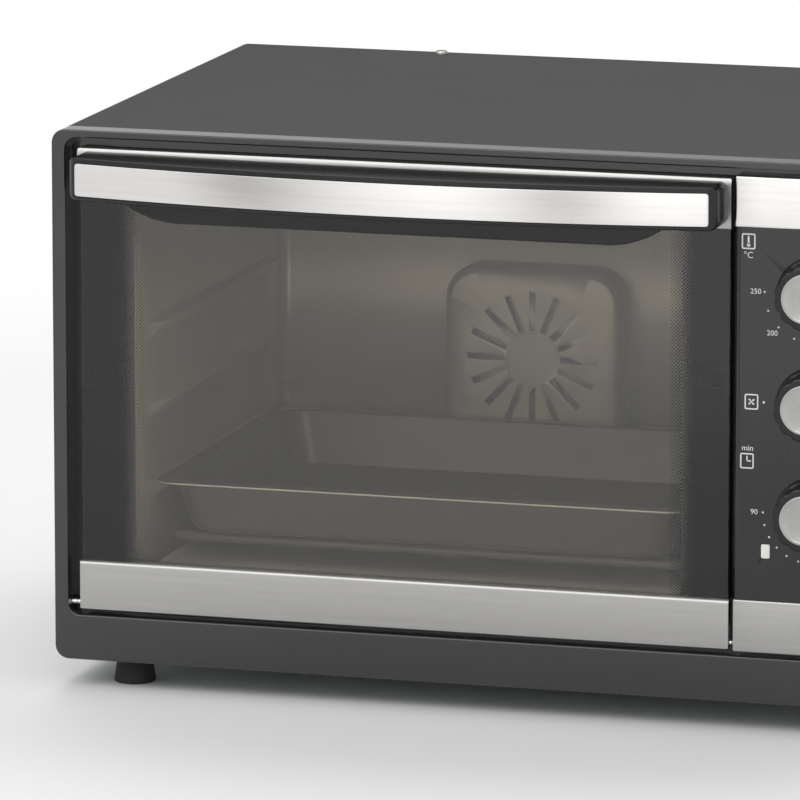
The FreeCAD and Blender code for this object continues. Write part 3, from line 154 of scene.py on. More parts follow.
def rounded_loop(low: Sequence[float], high: Sequence[float], radii: Sequence[float],
                 steps: int = 8) -> np.ndarray:
    """A rectangle with rounded corners: a quarter circle in each, set in from the corner by its radius.

    Args:
        low: lower left corner.
        high: upper right corner.
        radii: corner radii, bottom left, bottom right, top right, top left.
        steps: edges in each quarter circle.

    Returns:
        Points of the loop, shape (4 * (steps + 1), 2).
    """
    radii = np.maximum(np.broadcast_to(radii, 4), 0.01)[:, None]
    corners = np.array([low, (high[0], low[1]), high, (low[0], high[1])], float)
    inward = np.array([(1, 1), (-1, 1), (-1, -1), (1, -1)])
    turn = np.radians(180 + 90 * np.arange(4)[:, None] + np.linspace(0, 90, steps + 1)[None, :])
    quarter = np.stack([np.cos(turn), np.sin(turn)], axis=-1) * radii[:, None]
    return ((corners + inward * radii)[:, None] + quarter).reshape(-1, 2)


def nested_loops(plane: Plane, low: Sequence[float], high: Sequence[float], radius: Union[float, Sequence],
                 profile: Sequence[tuple[float, float]], keep_radius: bool = False) -> np.ndarray:
    """Rounded rectangles one inside the other: each is set in by the first number of a profile row.

    Args:
        plane: plane of the loops.
        low: lower left corner of the outermost loop.
        high: upper right corner of the outermost loop.
        radius: corner radius, or one for each corner.
        profile: rows of inset and depth.
        keep_radius: whether the corners keep their radius as the loops shrink.

    Returns:
        Loops, shape (rows, points, 3).
    """
    loops = []
    for inset, depth in profile:
        radii = np.array(radius) if keep_radius else np.array(radius) - inset
        flat = rounded_loop(np.array(low) + inset, np.array(high) - inset, radii)
        loops.append(plane.lift(flat[:, 0], flat[:, 1], np.array(depth)))
    return np.stack(loops)


def turned(plane: Plane, middle: Sequence[float], radius: np.ndarray, depth: np.ndarray,
           steps: int = 48) -> np.ndarray:
    """Loops round a middle, swept in equal steps.

    Args:
        plane: plane of the loops.
        middle: their centre in that plane.
        radius: one radius for each loop, or one for each loop and step.
        depth: one depth for each loop.
        steps: points of a loop.

    Returns:
        Loops, shape (rows, steps, 3).
    """
    turn = np.linspace(0, 2 * math.pi, steps, endpoint=False)
    return plane.lift(middle[0] + radius * np.cos(turn), middle[1] + radius * np.sin(turn), depth)


def quarter(steps: int) -> tuple[np.ndarray, np.ndarray]:
    """One less the cosine, and one less the sine, over a quarter turn in equal steps."""
    turn = np.radians(np.linspace(0, 90, steps + 1))
    return 1 - np.cos(turn), 1 - np.sin(turn)


def sag(radius: float, offset: np.ndarray) -> np.ndarray:
    """How far a circle falls away from its crest at an offset x: r - sqrt(r2 - x2)."""
    return radius - np.sqrt(radius ** 2 - offset ** 2)


def bow_radius(half: float, bow: float) -> float:
    """Radius of the circle through both ends of a bow and its middle."""
    return (half ** 2 + bow ** 2) / (2 * bow)


def corner_drop(distance: np.ndarray, radius: float) -> np.ndarray:
    """How far a rounded corner falls short at a distance from its end."""
    return sag(radius, np.clip(radius - distance, 0, radius))


def bar_offsets(half: float, corner: float, spans: int = 64, extra: Sequence[float] = ()) -> np.ndarray:
    """Places along a bar, from its middle: even spans, with finer steps inside the rounded ends."""
    ends, inner = half - corner * quarter(8)[0], np.linspace(0, half - corner, spans // 2)
    positive = np.unique(np.concatenate([ends, inner, np.array(extra, float)]).round(4))
    return np.concatenate([-positive[::-1], positive[1:]]) if positive[0] == 0 else positive


def bar_rings(x: np.ndarray, front: np.ndarray, back: np.ndarray, low: np.ndarray, high: np.ndarray,
              edge: float, groove: Optional[tuple] = None, slot: Optional[tuple] = None,
              top_edge: Optional[float] = None) -> np.ndarray:
    """Cross-sections of a bar that runs along X: flat behind, with quarter-round front edges.

    Args:
        x: places of the sections.
        front: depth of the front face.
        back: depth of the back face.
        low: lower edge.
        high: upper edge.
        edge: radius of the front edges, or of the lower one if the upper one has its own.
        groove: depth, lower and upper edge of a recess in the front face.
        slot: how far a slot in the upper back edge reaches forwards, and how far down.
        top_edge: radius of the upper front edge.

    Returns:
        Sections, shape (sections, points, 3).
    """
    upper = edge if top_edge is None else top_edge
    x, front, back, low, high = (value[:, None] for value in np.broadcast_arrays(x, front, back, low, high))
    past, short = quarter(5)
    wide, deep = (0 * back, 0.0) if slot is None else (slot[0][:, None], slot[1])
    depths = [back, back - wide, back - wide, front + upper * short]
    heights = [high - deep, high - deep, high, high - upper * past]
    if groove is not None:
        sunk, bottom, top = (np.broadcast_to(value, x[:, 0].shape)[:, None] for value in groove)
        depths += [front, front + sunk, front + sunk, front]
        heights += [top, top, bottom, bottom]
    depths += [front + edge * past, back]
    heights += [low + edge * short, low]
    depth, height = (np.hstack([value + 0 * x for value in values]) for values in (depths, heights))
    return Plane.FRONT.lift(x + 0 * depth, height, depth)


# Finishes


def linear(colour: str) -> tuple[float, float, float, float]:
    """A hex sRGB colour as linear red, green, blue and alpha."""
    channels = np.array([int(colour[place:place + 2], 16) for place in (1, 3, 5)]) / 255
    curved = ((channels + 0.055) / 1.055) ** 2.4
    return (*np.where(channels <= 0.04045, channels / 12.92, curved).tolist(), 1.0)


def add(tree: Tree, kind: str, inputs: Optional[dict] = None, **settings) -> Node:
    """Adds one node with its settings, and sets or links its inputs.

    Args:
        tree: node tree that gets the node.
        kind: node type.
        inputs: input name or number, and the value, the socket or the node that feeds it.
        settings: properties of the node.

    Returns:
        The new node.
    """
    node = tree.nodes.new(kind)
    for name, value in settings.items():
        setattr(node, name, value)
    for name, value in (inputs or {}).items():
        if isinstance(value, Node):
            value = value.outputs[0]
        if isinstance(value, Socket):
            tree.links.new(value, node.inputs[name])
        else:
            node.inputs[name].default_value = value
    return node


def maths(tree: Tree, operation: str, *values: Union[float, Socket, Node]) -> Node:
    """One step of arithmetic."""
    return add(tree, "ShaderNodeMath", dict(enumerate(values)), operation=operation)


def mapped(tree: Tree, value: Union[Socket, Node], source: tuple, target: tuple = (0.0, 1.0),
           **settings) -> Node:
    """A value carried from one range to another and held inside it."""
    inputs = {"Value": value, "From Min": source[0], "From Max": source[1], "To Min": target[0],
              "To Max": target[1]}
    return add(tree, "ShaderNodeMapRange", inputs, **settings)


def toned(tree: Tree, share: Union[Socket, Node], first: str, second: str) -> Node:
    """Two hex colours, with a share of the second."""
    return add(tree, "ShaderNodeMixRGB", {"Fac": share, "Color1": linear(first), "Color2": linear(second)})


def mixed(tree: Tree, share: Union[Socket, Node], first: Node, second: Node) -> Node:
    """Two shaders, with a share of the second."""
    return add(tree, "ShaderNodeMixShader", {0: share, 1: first, 2: second})


def cleared(owner: Union[bpy.types.Material, bpy.types.World]) -> Tree:
    """The node tree of a material or a world, emptied."""
    owner.use_nodes = True
    owner.node_tree.nodes.clear()
    return owner.node_tree


@dataclass(frozen=True)
class Grain:
    """A pattern: the size of its spots in millimetres, how much longer they run along each axis, its kind."""

    size: float
    stretch: tuple[float, float, float] = (1.0, 1.0, 1.0)
    cells: bool = False

    def spread(self, tree: Tree, place: Socket) -> Node:
        """Adds the pattern to a tree. The first output of the node it returns runs from 0 to 1."""
        scale = tuple(1 / (MM * self.size * longer) for longer in self.stretch)
        spot = add(tree, "ShaderNodeMapping", {"Vector": place, "Scale": scale})
        if self.cells:
            cells = add(tree, "ShaderNodeTexVoronoi", {"Vector": spot, "Scale": 1.0})
            return add(tree, "ShaderNodeSeparateColor", {"Color": cells.outputs["Color"]})
        return add(tree, "ShaderNodeTexNoise", {"Vector": spot, "Scale": 1.0, "Detail": 3.0})


@dataclass(frozen=True)
class Finish:
    """A finish: two tones that drift into each other, a surface grain, and how it takes light."""

    name: str
    slot: str
    colour: str
    drift: str
    roughness: float
    swing: float = 0.04
    metallic: float = 0.0
    tone: Grain = Grain(40.0)
    grain: Grain = Grain(0.8)
    relief: float = 0.004
    coat: float = 0.0
    ior: float = 1.45
    anisotropy: float = 0.0
    uses_map: bool = False

    def material(self) -> bpy.types.Material:
        """The finish as a material, made once."""
        made = bpy.data.materials.get(self.name)
        if made is None:
            made = bpy.data.materials.new(self.name)
            tree = cleared(made)
            place = add(tree, "ShaderNodeTexCoord").outputs["UV" if self.uses_map else "Object"]
            add(tree, "ShaderNodeOutputMaterial", {"Surface": self.surface(tree, place)})
        return made

    def surface(self, tree: Tree, place: Socket) -> Node:
        """The shader: tones mixed by the coarse pattern, roughness and relief by the fine one.

        Args:
            tree: node tree of the material.
            place: coordinates that the patterns read.

        Returns:
            The shader node.
        """
        tone = mapped(tree, self.tone.spread(tree, place), (0.3, 0.7))
        fine = self.grain.spread(tree, place)
        swings = self.roughness - self.swing, self.roughness + self.swing
        inputs = {
            "Base Color": toned(tree, tone, self.colour, self.drift),
            "Roughness": mapped(tree, fine, (0.25, 0.75), swings),
            "Normal": add(tree, "ShaderNodeBump", {
                "Height": fine, "Strength": 1.0, "Distance": self.relief * MM}),
            "Metallic": self.metallic, "Coat Weight": self.coat, "Coat Roughness": 0.06}
        if not self.metallic:
            inputs["IOR"] = self.ior
        if self.anisotropy:
            tangent = add(tree, "ShaderNodeTangent", direction_type="UV_MAP", uv_map="grain")
            inputs.update({"Anisotropic": self.anisotropy, "Anisotropic Rotation": 0.25, "Tangent": tangent})
        return add(tree, "ShaderNodeBsdfPrincipled", inputs)


@dataclass(frozen=True)
class PaneFinish(Finish):
    """Clear soda-lime pane with black bands fired on the back face, fading inwards in staggered dots."""

    left: float = 0.0
    right: float = 0.0
    middle_depth: float = 0.0
    band: float = 20.0
    fade: float = 16.0
    pitch: float = 2.0
    tint: str = "#fbf9f5"
    dot_start: float = 0.47
    dot_end: float = 0.13
    count_from: float = 500.0

    def surface(self, tree: Tree, place: Socket) -> Node:
        """See-through tint, black where the print is, and a mirror whose share follows Fresnel.

        A dot is as large as a straight fall from the band to the end of the fade allows, and its
        centres lie on two square lattices, half a pitch apart, counted from far outside the pane.
        """
        step = partial(maths, tree)
        x, y, z = add(tree, "ShaderNodeSeparateXYZ", {"Vector": place}).outputs
        edge = step("MINIMUM", step("SUBTRACT", x, self.left * MM), step("SUBTRACT", self.right * MM, x))
        band, faded = self.band * MM, (self.band + self.fade) * MM
        share = mapped(tree, edge, (band, faded), (self.dot_start, self.dot_end))
        nearest = []
        for shift in (0.0, 0.5):
            sides = []
            for value in (x, z):
                pitches = step("ADD", step("DIVIDE", value, self.pitch * MM), self.count_from + shift)
                part = step("SUBTRACT", step("FRACT", pitches), 0.5)
                sides.append(step("MULTIPLY", part, part))
            nearest.append(step("SQRT", step("ADD", *sides)))
        dots = step("LESS_THAN", step("MINIMUM", *nearest), share)
        inner = step("MULTIPLY", dots, step("LESS_THAN", edge, faded))
        inked = step("MAXIMUM", step("LESS_THAN", edge, band), inner)
        ink = step("MULTIPLY", inked, step("GREATER_THAN", y, self.middle_depth * MM))
        clear = add(tree, "ShaderNodeBsdfTransparent", {"Color": linear(self.tint)})
        black = add(tree, "ShaderNodeBsdfDiffuse", {"Color": linear(self.colour), "Roughness": 0.6})
        inside = add(tree, "ShaderNodeNewGeometry").outputs["Backfacing"]
        bend = mapped(tree, inside, (0.0, 1.0), (self.ior, 1 / self.ior))
        mirror = add(tree, "ShaderNodeFresnel", {"IOR": bend})
        gloss = add(tree, "ShaderNodeBsdfGlossy", {"Color": (1, 1, 1, 1), "Roughness": self.roughness})
        mirrored = step("MULTIPLY", mirror, step("SUBTRACT", 1.0, ink))
        return mixed(tree, mirrored, mixed(tree, ink, clear, black), gloss)


# Cold-rolled stainless sheet, brushed with a belt: fine lines along one way, light spread across them.
# Real scratches are about 0.05 mm apart; they are drawn 0.6 mm wide so that they show.
STEEL = Finish("stainless_steel_belt_brushed", "steel_brushed", "#abaaa8", "#b1b0ae", 0.3, 0.03, 1.0,
               Grain(3.0, (30.0, 1.0, 1.0)), Grain(0.6, (60.0, 1.0, 1.0)), 0.0012, anisotropy=0.75,
               uses_map=True)
# The same sheet with a finer belt, coloured lighter than the plain sheet: painted light, a lit copy of the
# steel so that the handle inlay and the upper fascia plate read brighter. It also mirrors bands of the room
# along the bow of the handle.
LIGHTER_PAINTED_STEEL = replace(STEEL, name="stainless_steel_fine_brushed_painted_lighter", colour="#e0dedc", drift="#e6e4e2",
                       roughness=0.22, grain=Grain(0.5, (60.0, 1.0, 1.0)), relief=0.001)
# Moulded ABS rim, satin from a finely etched mould.
FRAME = Finish("abs_satin_moulded", "frame_black", "#1b1b1c", "#1f1f20", 0.26, 0.03, grain=Grain(0.5),
               relief=0.002, coat=0.9)
# Powder-painted sheet with a fine leather grain, about 0.7 mm between its hills.
PAINT = Finish("steel_sheet_textured_powder_paint", "casing_black", "#232325", "#29292b", 0.5, 0.08,
               grain=Grain(0.7), relief=0.05)
# Hot-dip galvanised sheet: crystals of zinc, about 6 mm across, each with its own grey.
ZINC_SHEET = Finish("steel_sheet_hot_dip_galvanised", "galvanised", "#999fa2", "#a0a6a9", 0.42, 0.03, 0.9,
                    Grain(6.0, cells=True), Grain(2.5), 0.004)
# Sheet with a baked grey non-stick coat: warm grey, satin, with faint roller marks.
LINER = Finish("steel_sheet_grey_baked_coat", "cavity_steel", "#a7a194", "#9c968a", 0.36, 0.05, 0.35,
               Grain(70.0), Grain(1.2), 0.006)
# Injection-moulded ABS with a polished mould: soft reflections, hardly any grain.
GRIP = Finish("abs_polished_moulded", "handle_plastic", "#171616", "#1b1a1a", 0.26, 0.02, relief=0.0003)
# Acrylic-capped ABS: deep black, mirror-like.
PANEL = Finish("abs_high_gloss_moulded", "fascia_plastic", "#0d0d0e", "#111112", 0.1, 0.02, relief=0.0005,
               coat=0.4)
# Injection-moulded ABS, satin from the mould, so that fingers leave no marks.
KNOB = Finish("abs_satin_knob_moulded", "knob_plastic", "#19191a", "#1d1d1f", 0.36, 0.05, grain=Grain(0.5),
              relief=0.003)
# Tempered glass is set up by the door, because its print follows the size of the pane.
# Vitreous enamel, dark with fine pale specks about 1.5 mm apart, glossy but slightly rippled.
ENAMEL = Finish("steel_vitreous_enamel_glazed", "tray_enamel", "#474443", "#4d4a48", 0.34, 0.03,
                tone=Grain(1.5), grain=Grain(10.0), relief=0.001, coat=0.1)
# The rolled rim of the tray in a pale steel colour: a painted highlight, the line of light along the rim's
# edge, on a lit copy of the tray's finish.
RIM_PAINTED_HIGHLIGHT = Finish("tray_rim_painted_highlight", "tray_enamel", "#b5b1aa", "#a5a19a", 0.36, 0.05, 0.5, Grain(6.0),
             Grain(1.0), 0.004)
# Steel sheath that has been glowing: grey with a breath of straw, dull.
SHEATH = Finish("steel_sheath_heat_tinted", "element_steel", "#85817c", "#8f867b", 0.46, 0.08, 0.5,
                Grain(18.0), Grain(1.0), 0.01)
# Pressed steatite, unglazed: chalky white.
CERAMIC = Finish("steatite_pressed_unglazed", "ceramic_white", "#e4dfd2", "#d8d2c2", 0.75, 0.08,
                 grain=Grain(0.6), relief=0.03)
# Aluminised sheet, as rolled: soft metal with long faint roll lines.
ALUMINISED = Finish("steel_sheet_aluminised_rolled", "aluminised", "#a9a8a4", "#b7b6b2", 0.38, 0.06, 0.95,
                    Grain(25.0, (1.0, 1.0, 4.0)), Grain(1.0, (1.0, 1.0, 20.0)), 0.003)
# The same sheet, matt and a lighter grey: painted light, a lit copy that lifts the crumb tray in the baking
# tray's shadow.
LIGHTER_CRUMB_SHEET = Finish("steel_sheet_aluminised_painted_lighter", "aluminised", "#cbc9c4", "#bfbdb8", 0.5, 0.06, 0.15,
               Grain(30.0), Grain(1.0), 0.006)
# Pins and stays of ground steel: bright, with hardly any marks.
PIN_STEEL = Finish("steel_pin_ground_bright", "pin_steel", "#d6d6d6", "#cfcfd0", 0.14, 0.03, 1.0,
                   grain=Grain(0.5), relief=0.001)
# Extruded silicone strip, dull.
SILICONE = Finish("silicone_extruded", "silicone", "#2a2a2a", "#313131", 0.6, 0.06, relief=0.01)
# Moulded rubber, matt, with the mould's fine grain.
RUBBER = Finish("rubber_moulded", "foot_rubber", "#222222", "#2a2a2a", 0.72, 0.08, grain=Grain(0.6),
                relief=0.03)
# Zinc-plated screws, with a faint yellow bloom.
ZINC = Finish("steel_screw_zinc_plated", "screw_steel", "#b4b6b5", "#c2c0b4", 0.3, 0.06, 1.0,
              Grain(2.0), Grain(0.5), 0.004)
# Black nylon bushes in the front, matt from the mould.
BUSH = Finish("nylon_bush_moulded_black", "unit_plastic", "#1f1f1f", "#262626", 0.5, 0.06, relief=0.006)
# Phenolic and nylon housings of the control units, matt from the mould.
UNIT = Finish("nylon_moulded_matt", "unit_plastic", "#d6cdb6", "#cbc2ab", 0.55, 0.06, relief=0.01)
# Motor laminations: sheets of 0.5 mm, drawn 1 mm thick across the axis so that they show.
LAMINATED = Finish("steel_laminations_stacked", "motor_steel", "#6f7276", "#8a8d90", 0.48, 0.08, 0.8,
                   Grain(1.0, (30.0, 1.0, 30.0)), Grain(1.0, (30.0, 1.0, 30.0)), 0.02)
# Polycarbonate, frosted so that the lamp behind spreads.
LENS = Finish("polycarbonate_lens_frosted", "lens_clear", "#f4f1ec", "#eeebe5", 0.22, 0.04, relief=0.001)
# Nickel-plated steel cup, drawn and bright.
BELL = Finish("steel_bell_nickel_plated", "bell_steel", "#c3c0b8", "#b6b3aa", 0.24, 0.05, 1.0, relief=0.002)
# Screen print of white ink, slightly uneven in density.
INK = Finish("screen_print_white_ink", "fascia_plastic", "#e9e9e7", "#dcdcda", 0.5, 0.05, tone=Grain(2.0),
             relief=0.002)
FINISHES = {finish.slot: finish for finish in (
    INK, STEEL, FRAME, PAINT, ZINC_SHEET, LINER, GRIP, PANEL, KNOB, ENAMEL, SHEATH, CERAMIC, ALUMINISED,
    PIN_STEEL, SILICONE, RUBBER, ZINC, UNIT, LAMINATED, LENS, BELL)}
SLOT_OF = {part["node"]: part["material_slot"] for part in frame["record"]["subparts"]}
BODY_OF = {node: body for body, nodes in frame["record"]["behaviour"]["bodies"].items() for node in nodes}


# Pieces


def tidy(mesh: bpy.types.Mesh, outwards: bool, gap: float = 0.002) -> None:
    """Merges points that lie together and, where asked, turns all faces outwards."""
    work = bmesh.new()
    work.from_mesh(mesh)
    bmesh.ops.remove_doubles(work, verts=work.verts, dist=gap * MM)
    if outwards:
        bmesh.ops.recalc_face_normals(work, faces=work.faces)
    work.to_mesh(mesh)
    work.free()


def mesh_points(mesh: bpy.types.Mesh) -> np.ndarray:
    """The points of a mesh, in its own units."""
    points = np.empty(len(mesh.vertices) * 3, np.float32)
    mesh.vertices.foreach_get("co", points)
    return points.reshape(-1, 3)


def lay_grain(mesh: bpy.types.Mesh, centre: Optional[Sequence[float]] = None) -> None:
    """Adds a map whose first direction follows the brushing.

    Strips are brushed along X: the map is X, and Z less a little of Y, so that folded edges have
    lines too. A turned cap is brushed round its centre: the map is the angle times the mean radius
    of a cap, and the distance from the centre.
    """
    layer = mesh.uv_layers.new(name="grain")
    corners = np.empty(len(mesh.loops), np.int32)
    mesh.loops.foreach_get("vertex_index", corners)
    x, y, z = mesh_points(mesh)[corners].T
    along, across = x, z - FOLD_SLANT * y
    if centre is not None:
        right, up = x - centre[0] * MM, z - centre[2] * MM
        along, across = np.arctan2(up, right) * CAP_MEAN_RADIUS, np.hypot(right, up) - FOLD_SLANT * y
    layer.data.foreach_set("uv", np.stack([along, across], axis=-1).astype(np.float32).ravel())


def linked(name: str, data: bpy.types.ID) -> Shape:
    """A new object in the scene."""
    made = bpy.data.objects.new(name, data)
    bpy.context.scene.collection.objects.link(made)
    return made


def cover(piece: Shape, finish: Finish) -> None:
    """Gives a piece its one finish."""
    piece.data.materials.clear()
    piece.data.materials.append(finish.material())


def dress(name: str, mesh: bpy.types.Mesh, finish: Finish, body: str, nodes: Sequence[str], crease: float,
          centre: Optional[Sequence[float]] = None) -> Shape:
    """Puts a mesh in the scene as a finished piece, with the arguments of `make`, and returns it."""
    mesh.shade_smooth()
    mesh.set_sharp_from_angle(angle=math.radians(crease))
    if finish.uses_map:
        lay_grain(mesh, centre)
    piece = linked(name, mesh)
    cover(piece, finish)
    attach(piece, body)
    if nodes:
        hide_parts(*nodes)
    LOG.info("%s: %s, on %s", name, finish.name, body)
    return piece


def make(name: str, patch: Patch, finish: Finish, nodes: Sequence[str] = (), body: str = "",
         crease: float = 38.0, sheet: float = 0.0, facing: Optional[Sequence[float]] = None,
         centre: Optional[Sequence[float]] = None) -> None:
    """Makes a piece from a patch.

    Args:
        name: name of the piece.
        patch: its points and faces.
        finish: its finish.
        nodes: frame nodes that it stands for.
        body: body that it moves with, if it stands for no node.
        crease: angle in degrees from which an edge stays sharp.
        sheet: thickness in millimetres that an open patch gets behind its faces.
        facing: direction that an open patch looks in.
        centre: middle of a turned, brushed piece.
    """
    mesh = bpy.data.meshes.new(name)
    mesh.from_pydata((patch.points * MM).tolist(), [], patch.faces)
    tidy(mesh, facing is None)
    if facing is not None:
        normals = np.empty(len(mesh.polygons) * 3, np.float32)
        mesh.polygons.foreach_get("normal", normals)
        if normals.reshape(-1, 3).sum(axis=0) @ np.array(facing) < 0:
            mesh.flip_normals()
    piece = dress(name, mesh, finish, body or BODY_OF[nodes[0]], nodes, crease, centre)
    if sheet:
        wall = piece.modifiers.new("wall", "SOLIDIFY")
        wall.thickness = sheet * MM
        wall.offset = -1.0


def skin(*nodes: str, crease: float = 50.0, edge: float = 0.0, finish: Optional[Finish] = None) -> None:
    """Pieces with the form of frame nodes, their facets smoothed and their sharp edges broken.

    Args:
        nodes: frame nodes, each of which gets a piece.
        crease: angle in degrees from which an edge stays sharp.
        edge: radius in millimetres of the broken edges, or 0 for none.
        finish: their finish, if it isn't the one of the node's slot.
    """
    for node in nodes:
        name = f"{node}_skin"
        mesh = frame["nodes"][node].data.copy()
        mesh.name = name
        tidy(mesh, False, gap=0.004)
        for layer in list(mesh.uv_layers):
            mesh.uv_layers.remove(layer)
        piece = dress(name, mesh, finish or FINISHES[SLOT_OF[node]], BODY_OF[node], [node], crease)
        if edge:
            broken = piece.modifiers.new("broken_edges", "BEVEL")
            broken.width = edge * MM
            broken.segments = 2
            broken.limit_method = "ANGLE"
            broken.angle_limit = math.radians(crease)
        else:
            piece.modifiers.new("even_shading", "WEIGHTED_NORMAL").keep_sharp = True


def keep(node: str, finish: Optional[Finish] = None) -> None:
    """Leaves a frame node as it is and gives it its finish."""
    finish = finish or FINISHES[SLOT_OF[node]]
    cover(frame["nodes"][node], finish)
    LOG.info("%s: %s, as framed", node, finish.name)


# Sub-assemblies


@dataclass
class Handle:
    """Bowed handle moulding with its steel inlay and the grip lip below."""

    reach: float = 42.0
    end_reach: float = 23.5
    height: float = 24.2
    edge: float = 1.9
    top_edge: float = 0.6
    end_corner: float = 4.4
    plan_corner: float = 5.0
    inlay_inset: float = 4.6
    margin_top: float = 3.2
    margin_bottom: float = 2.6
    inlay_corner: float = 1.5
    inlay_sink: float = 0.6
    inlay_proud: float = 0.2
    recess_gap: float = 0.4
    lip_reach: float = 19.0
    lip_thickness: float = 3.2
    lip_flat: float = 123.6
    lip_end_radius: float = 57.0
    lip_edge: float = 1.3
    lip_root: float = 2.0
    gap: float = 9.0
    gap_half: float = 153.0
    gap_deep: float = 14.0

    def __post_init__(self) -> None:
        """Takes the place of the handle from the frame."""
        low, high = box_mm("handle")
        self.middle, self.half = (low[0] + high[0]) / 2, (high[0] - low[0]) / 2
        self.seat, self.top, self.lip_low = high[1], high[2], low[2]
        self.bottom = self.top - self.height

    def front(self, offset: np.ndarray) -> np.ndarray:
        """Depth of the bowed face: a circle through both ends and the middle, by its bow and half width."""
        radius = bow_radius(self.half, self.reach - self.end_reach)
        return self.seat - self.reach + sag(radius, offset)

    def behind(self, offset: np.ndarray) -> np.ndarray:
        """How far the top wall stands off the door: a circle through both ends of the gap and its middle."""
        inside = np.minimum(np.abs(offset), self.gap_half)
        return self.gap - sag(bow_radius(self.gap_half, self.gap), inside)

    def shell(self) -> Patch:
        """Moulding: sections along the bow, with a recess that ends in rounded corners."""
        recess_half = self.half - self.inlay_inset + self.recess_gap
        corner = self.inlay_corner + self.recess_gap
        rounding = recess_half - corner * quarter(5)[0]
        offset = bar_offsets(self.half, self.plan_corner, 72, [*rounding, recess_half + 0.01, self.gap_half])
        distance = self.half - np.abs(offset)
        drop = corner_drop(distance, self.end_corner)
        face = self.front(offset) + corner_drop(distance, self.plan_corner)
        inside = np.abs(offset) <= recess_half
        fall = corner_drop(np.clip(recess_half - np.abs(offset), 0, None), corner)
        inset = np.where(inside, fall, corner) - self.recess_gap
        above = np.maximum(self.margin_top + inset, drop + self.top_edge)
        below = np.maximum(self.margin_bottom + inset, drop + self.edge)
        sunk = np.where(inside, self.inlay_sink + self.recess_gap, 0)
        groove = (sunk, self.bottom + below, self.top - above)
        slot = (self.behind(offset), self.gap_deep)
        return loft(bar_rings(self.middle + offset, face, np.array(self.seat), self.bottom + drop,
                              self.top - drop, self.edge, groove, slot, self.top_edge))

    def inlay(self) -> Patch:
        """Steel strip: follows the bow, a little proud of it, with rounded corners."""
        half = self.half - self.inlay_inset
        offset = bar_offsets(half, self.inlay_corner, 72)
        drop = corner_drop(half - np.abs(offset), self.inlay_corner)
        low = self.bottom + self.margin_bottom + drop
        high = self.top - self.margin_top - drop
        face = self.front(offset)
        return loft(bar_rings(self.middle + offset, face - self.inlay_proud, face + self.inlay_sink,
                              low, high, 0.25))

    def lip(self) -> Patch:
        """Grip lip: flat along the bottom, with ends that rise on a circle into the moulding."""
        rise = self.bottom + self.lip_root - self.lip_low
        run = math.sqrt(self.lip_end_radius ** 2 - (self.lip_end_radius - rise) ** 2)
        swept = self.lip_flat + run * np.linspace(0, 1, 20)
        offset = np.concatenate([-swept[::-1], np.linspace(-self.lip_flat, self.lip_flat, 30)[1:-1], swept])
        beyond = np.clip(np.abs(offset) - self.lip_flat, 0, None)
        low = self.lip_low + sag(self.lip_end_radius, beyond)
        half, round_off = self.lip_thickness / 2, self.lip_edge
        section = np.vstack([
            [(-half, self.height)], arc((-half + round_off, round_off), round_off, 180, 270),
            arc((half - round_off, round_off), round_off, 270, 360), [(half, self.height)]])
        depth = self.seat - self.lip_reach + section[None, :, 0] + 0 * offset[:, None]
        height = np.minimum(low[:, None] + section[None, :, 1], self.bottom + self.lip_root)
        return loft(Plane.FRONT.lift(self.middle + offset[:, None] + 0 * depth, height, depth))

    def build(self) -> None:
        """Makes the three visible pieces and the screws inside."""
        make("handle_moulding", self.shell(), GRIP, ["handle"], crease=32)
        make("handle_grip_lip", self.lip(), GRIP, body="door", crease=32)
        # The inlay gets the lighter-painted steel: partly a finer brushing, partly painted light.
        make("handle_inlay_strip", self.inlay(), LIGHTER_PAINTED_STEEL, ["handle_inlay"], crease=40)
        skin("handle_screws")


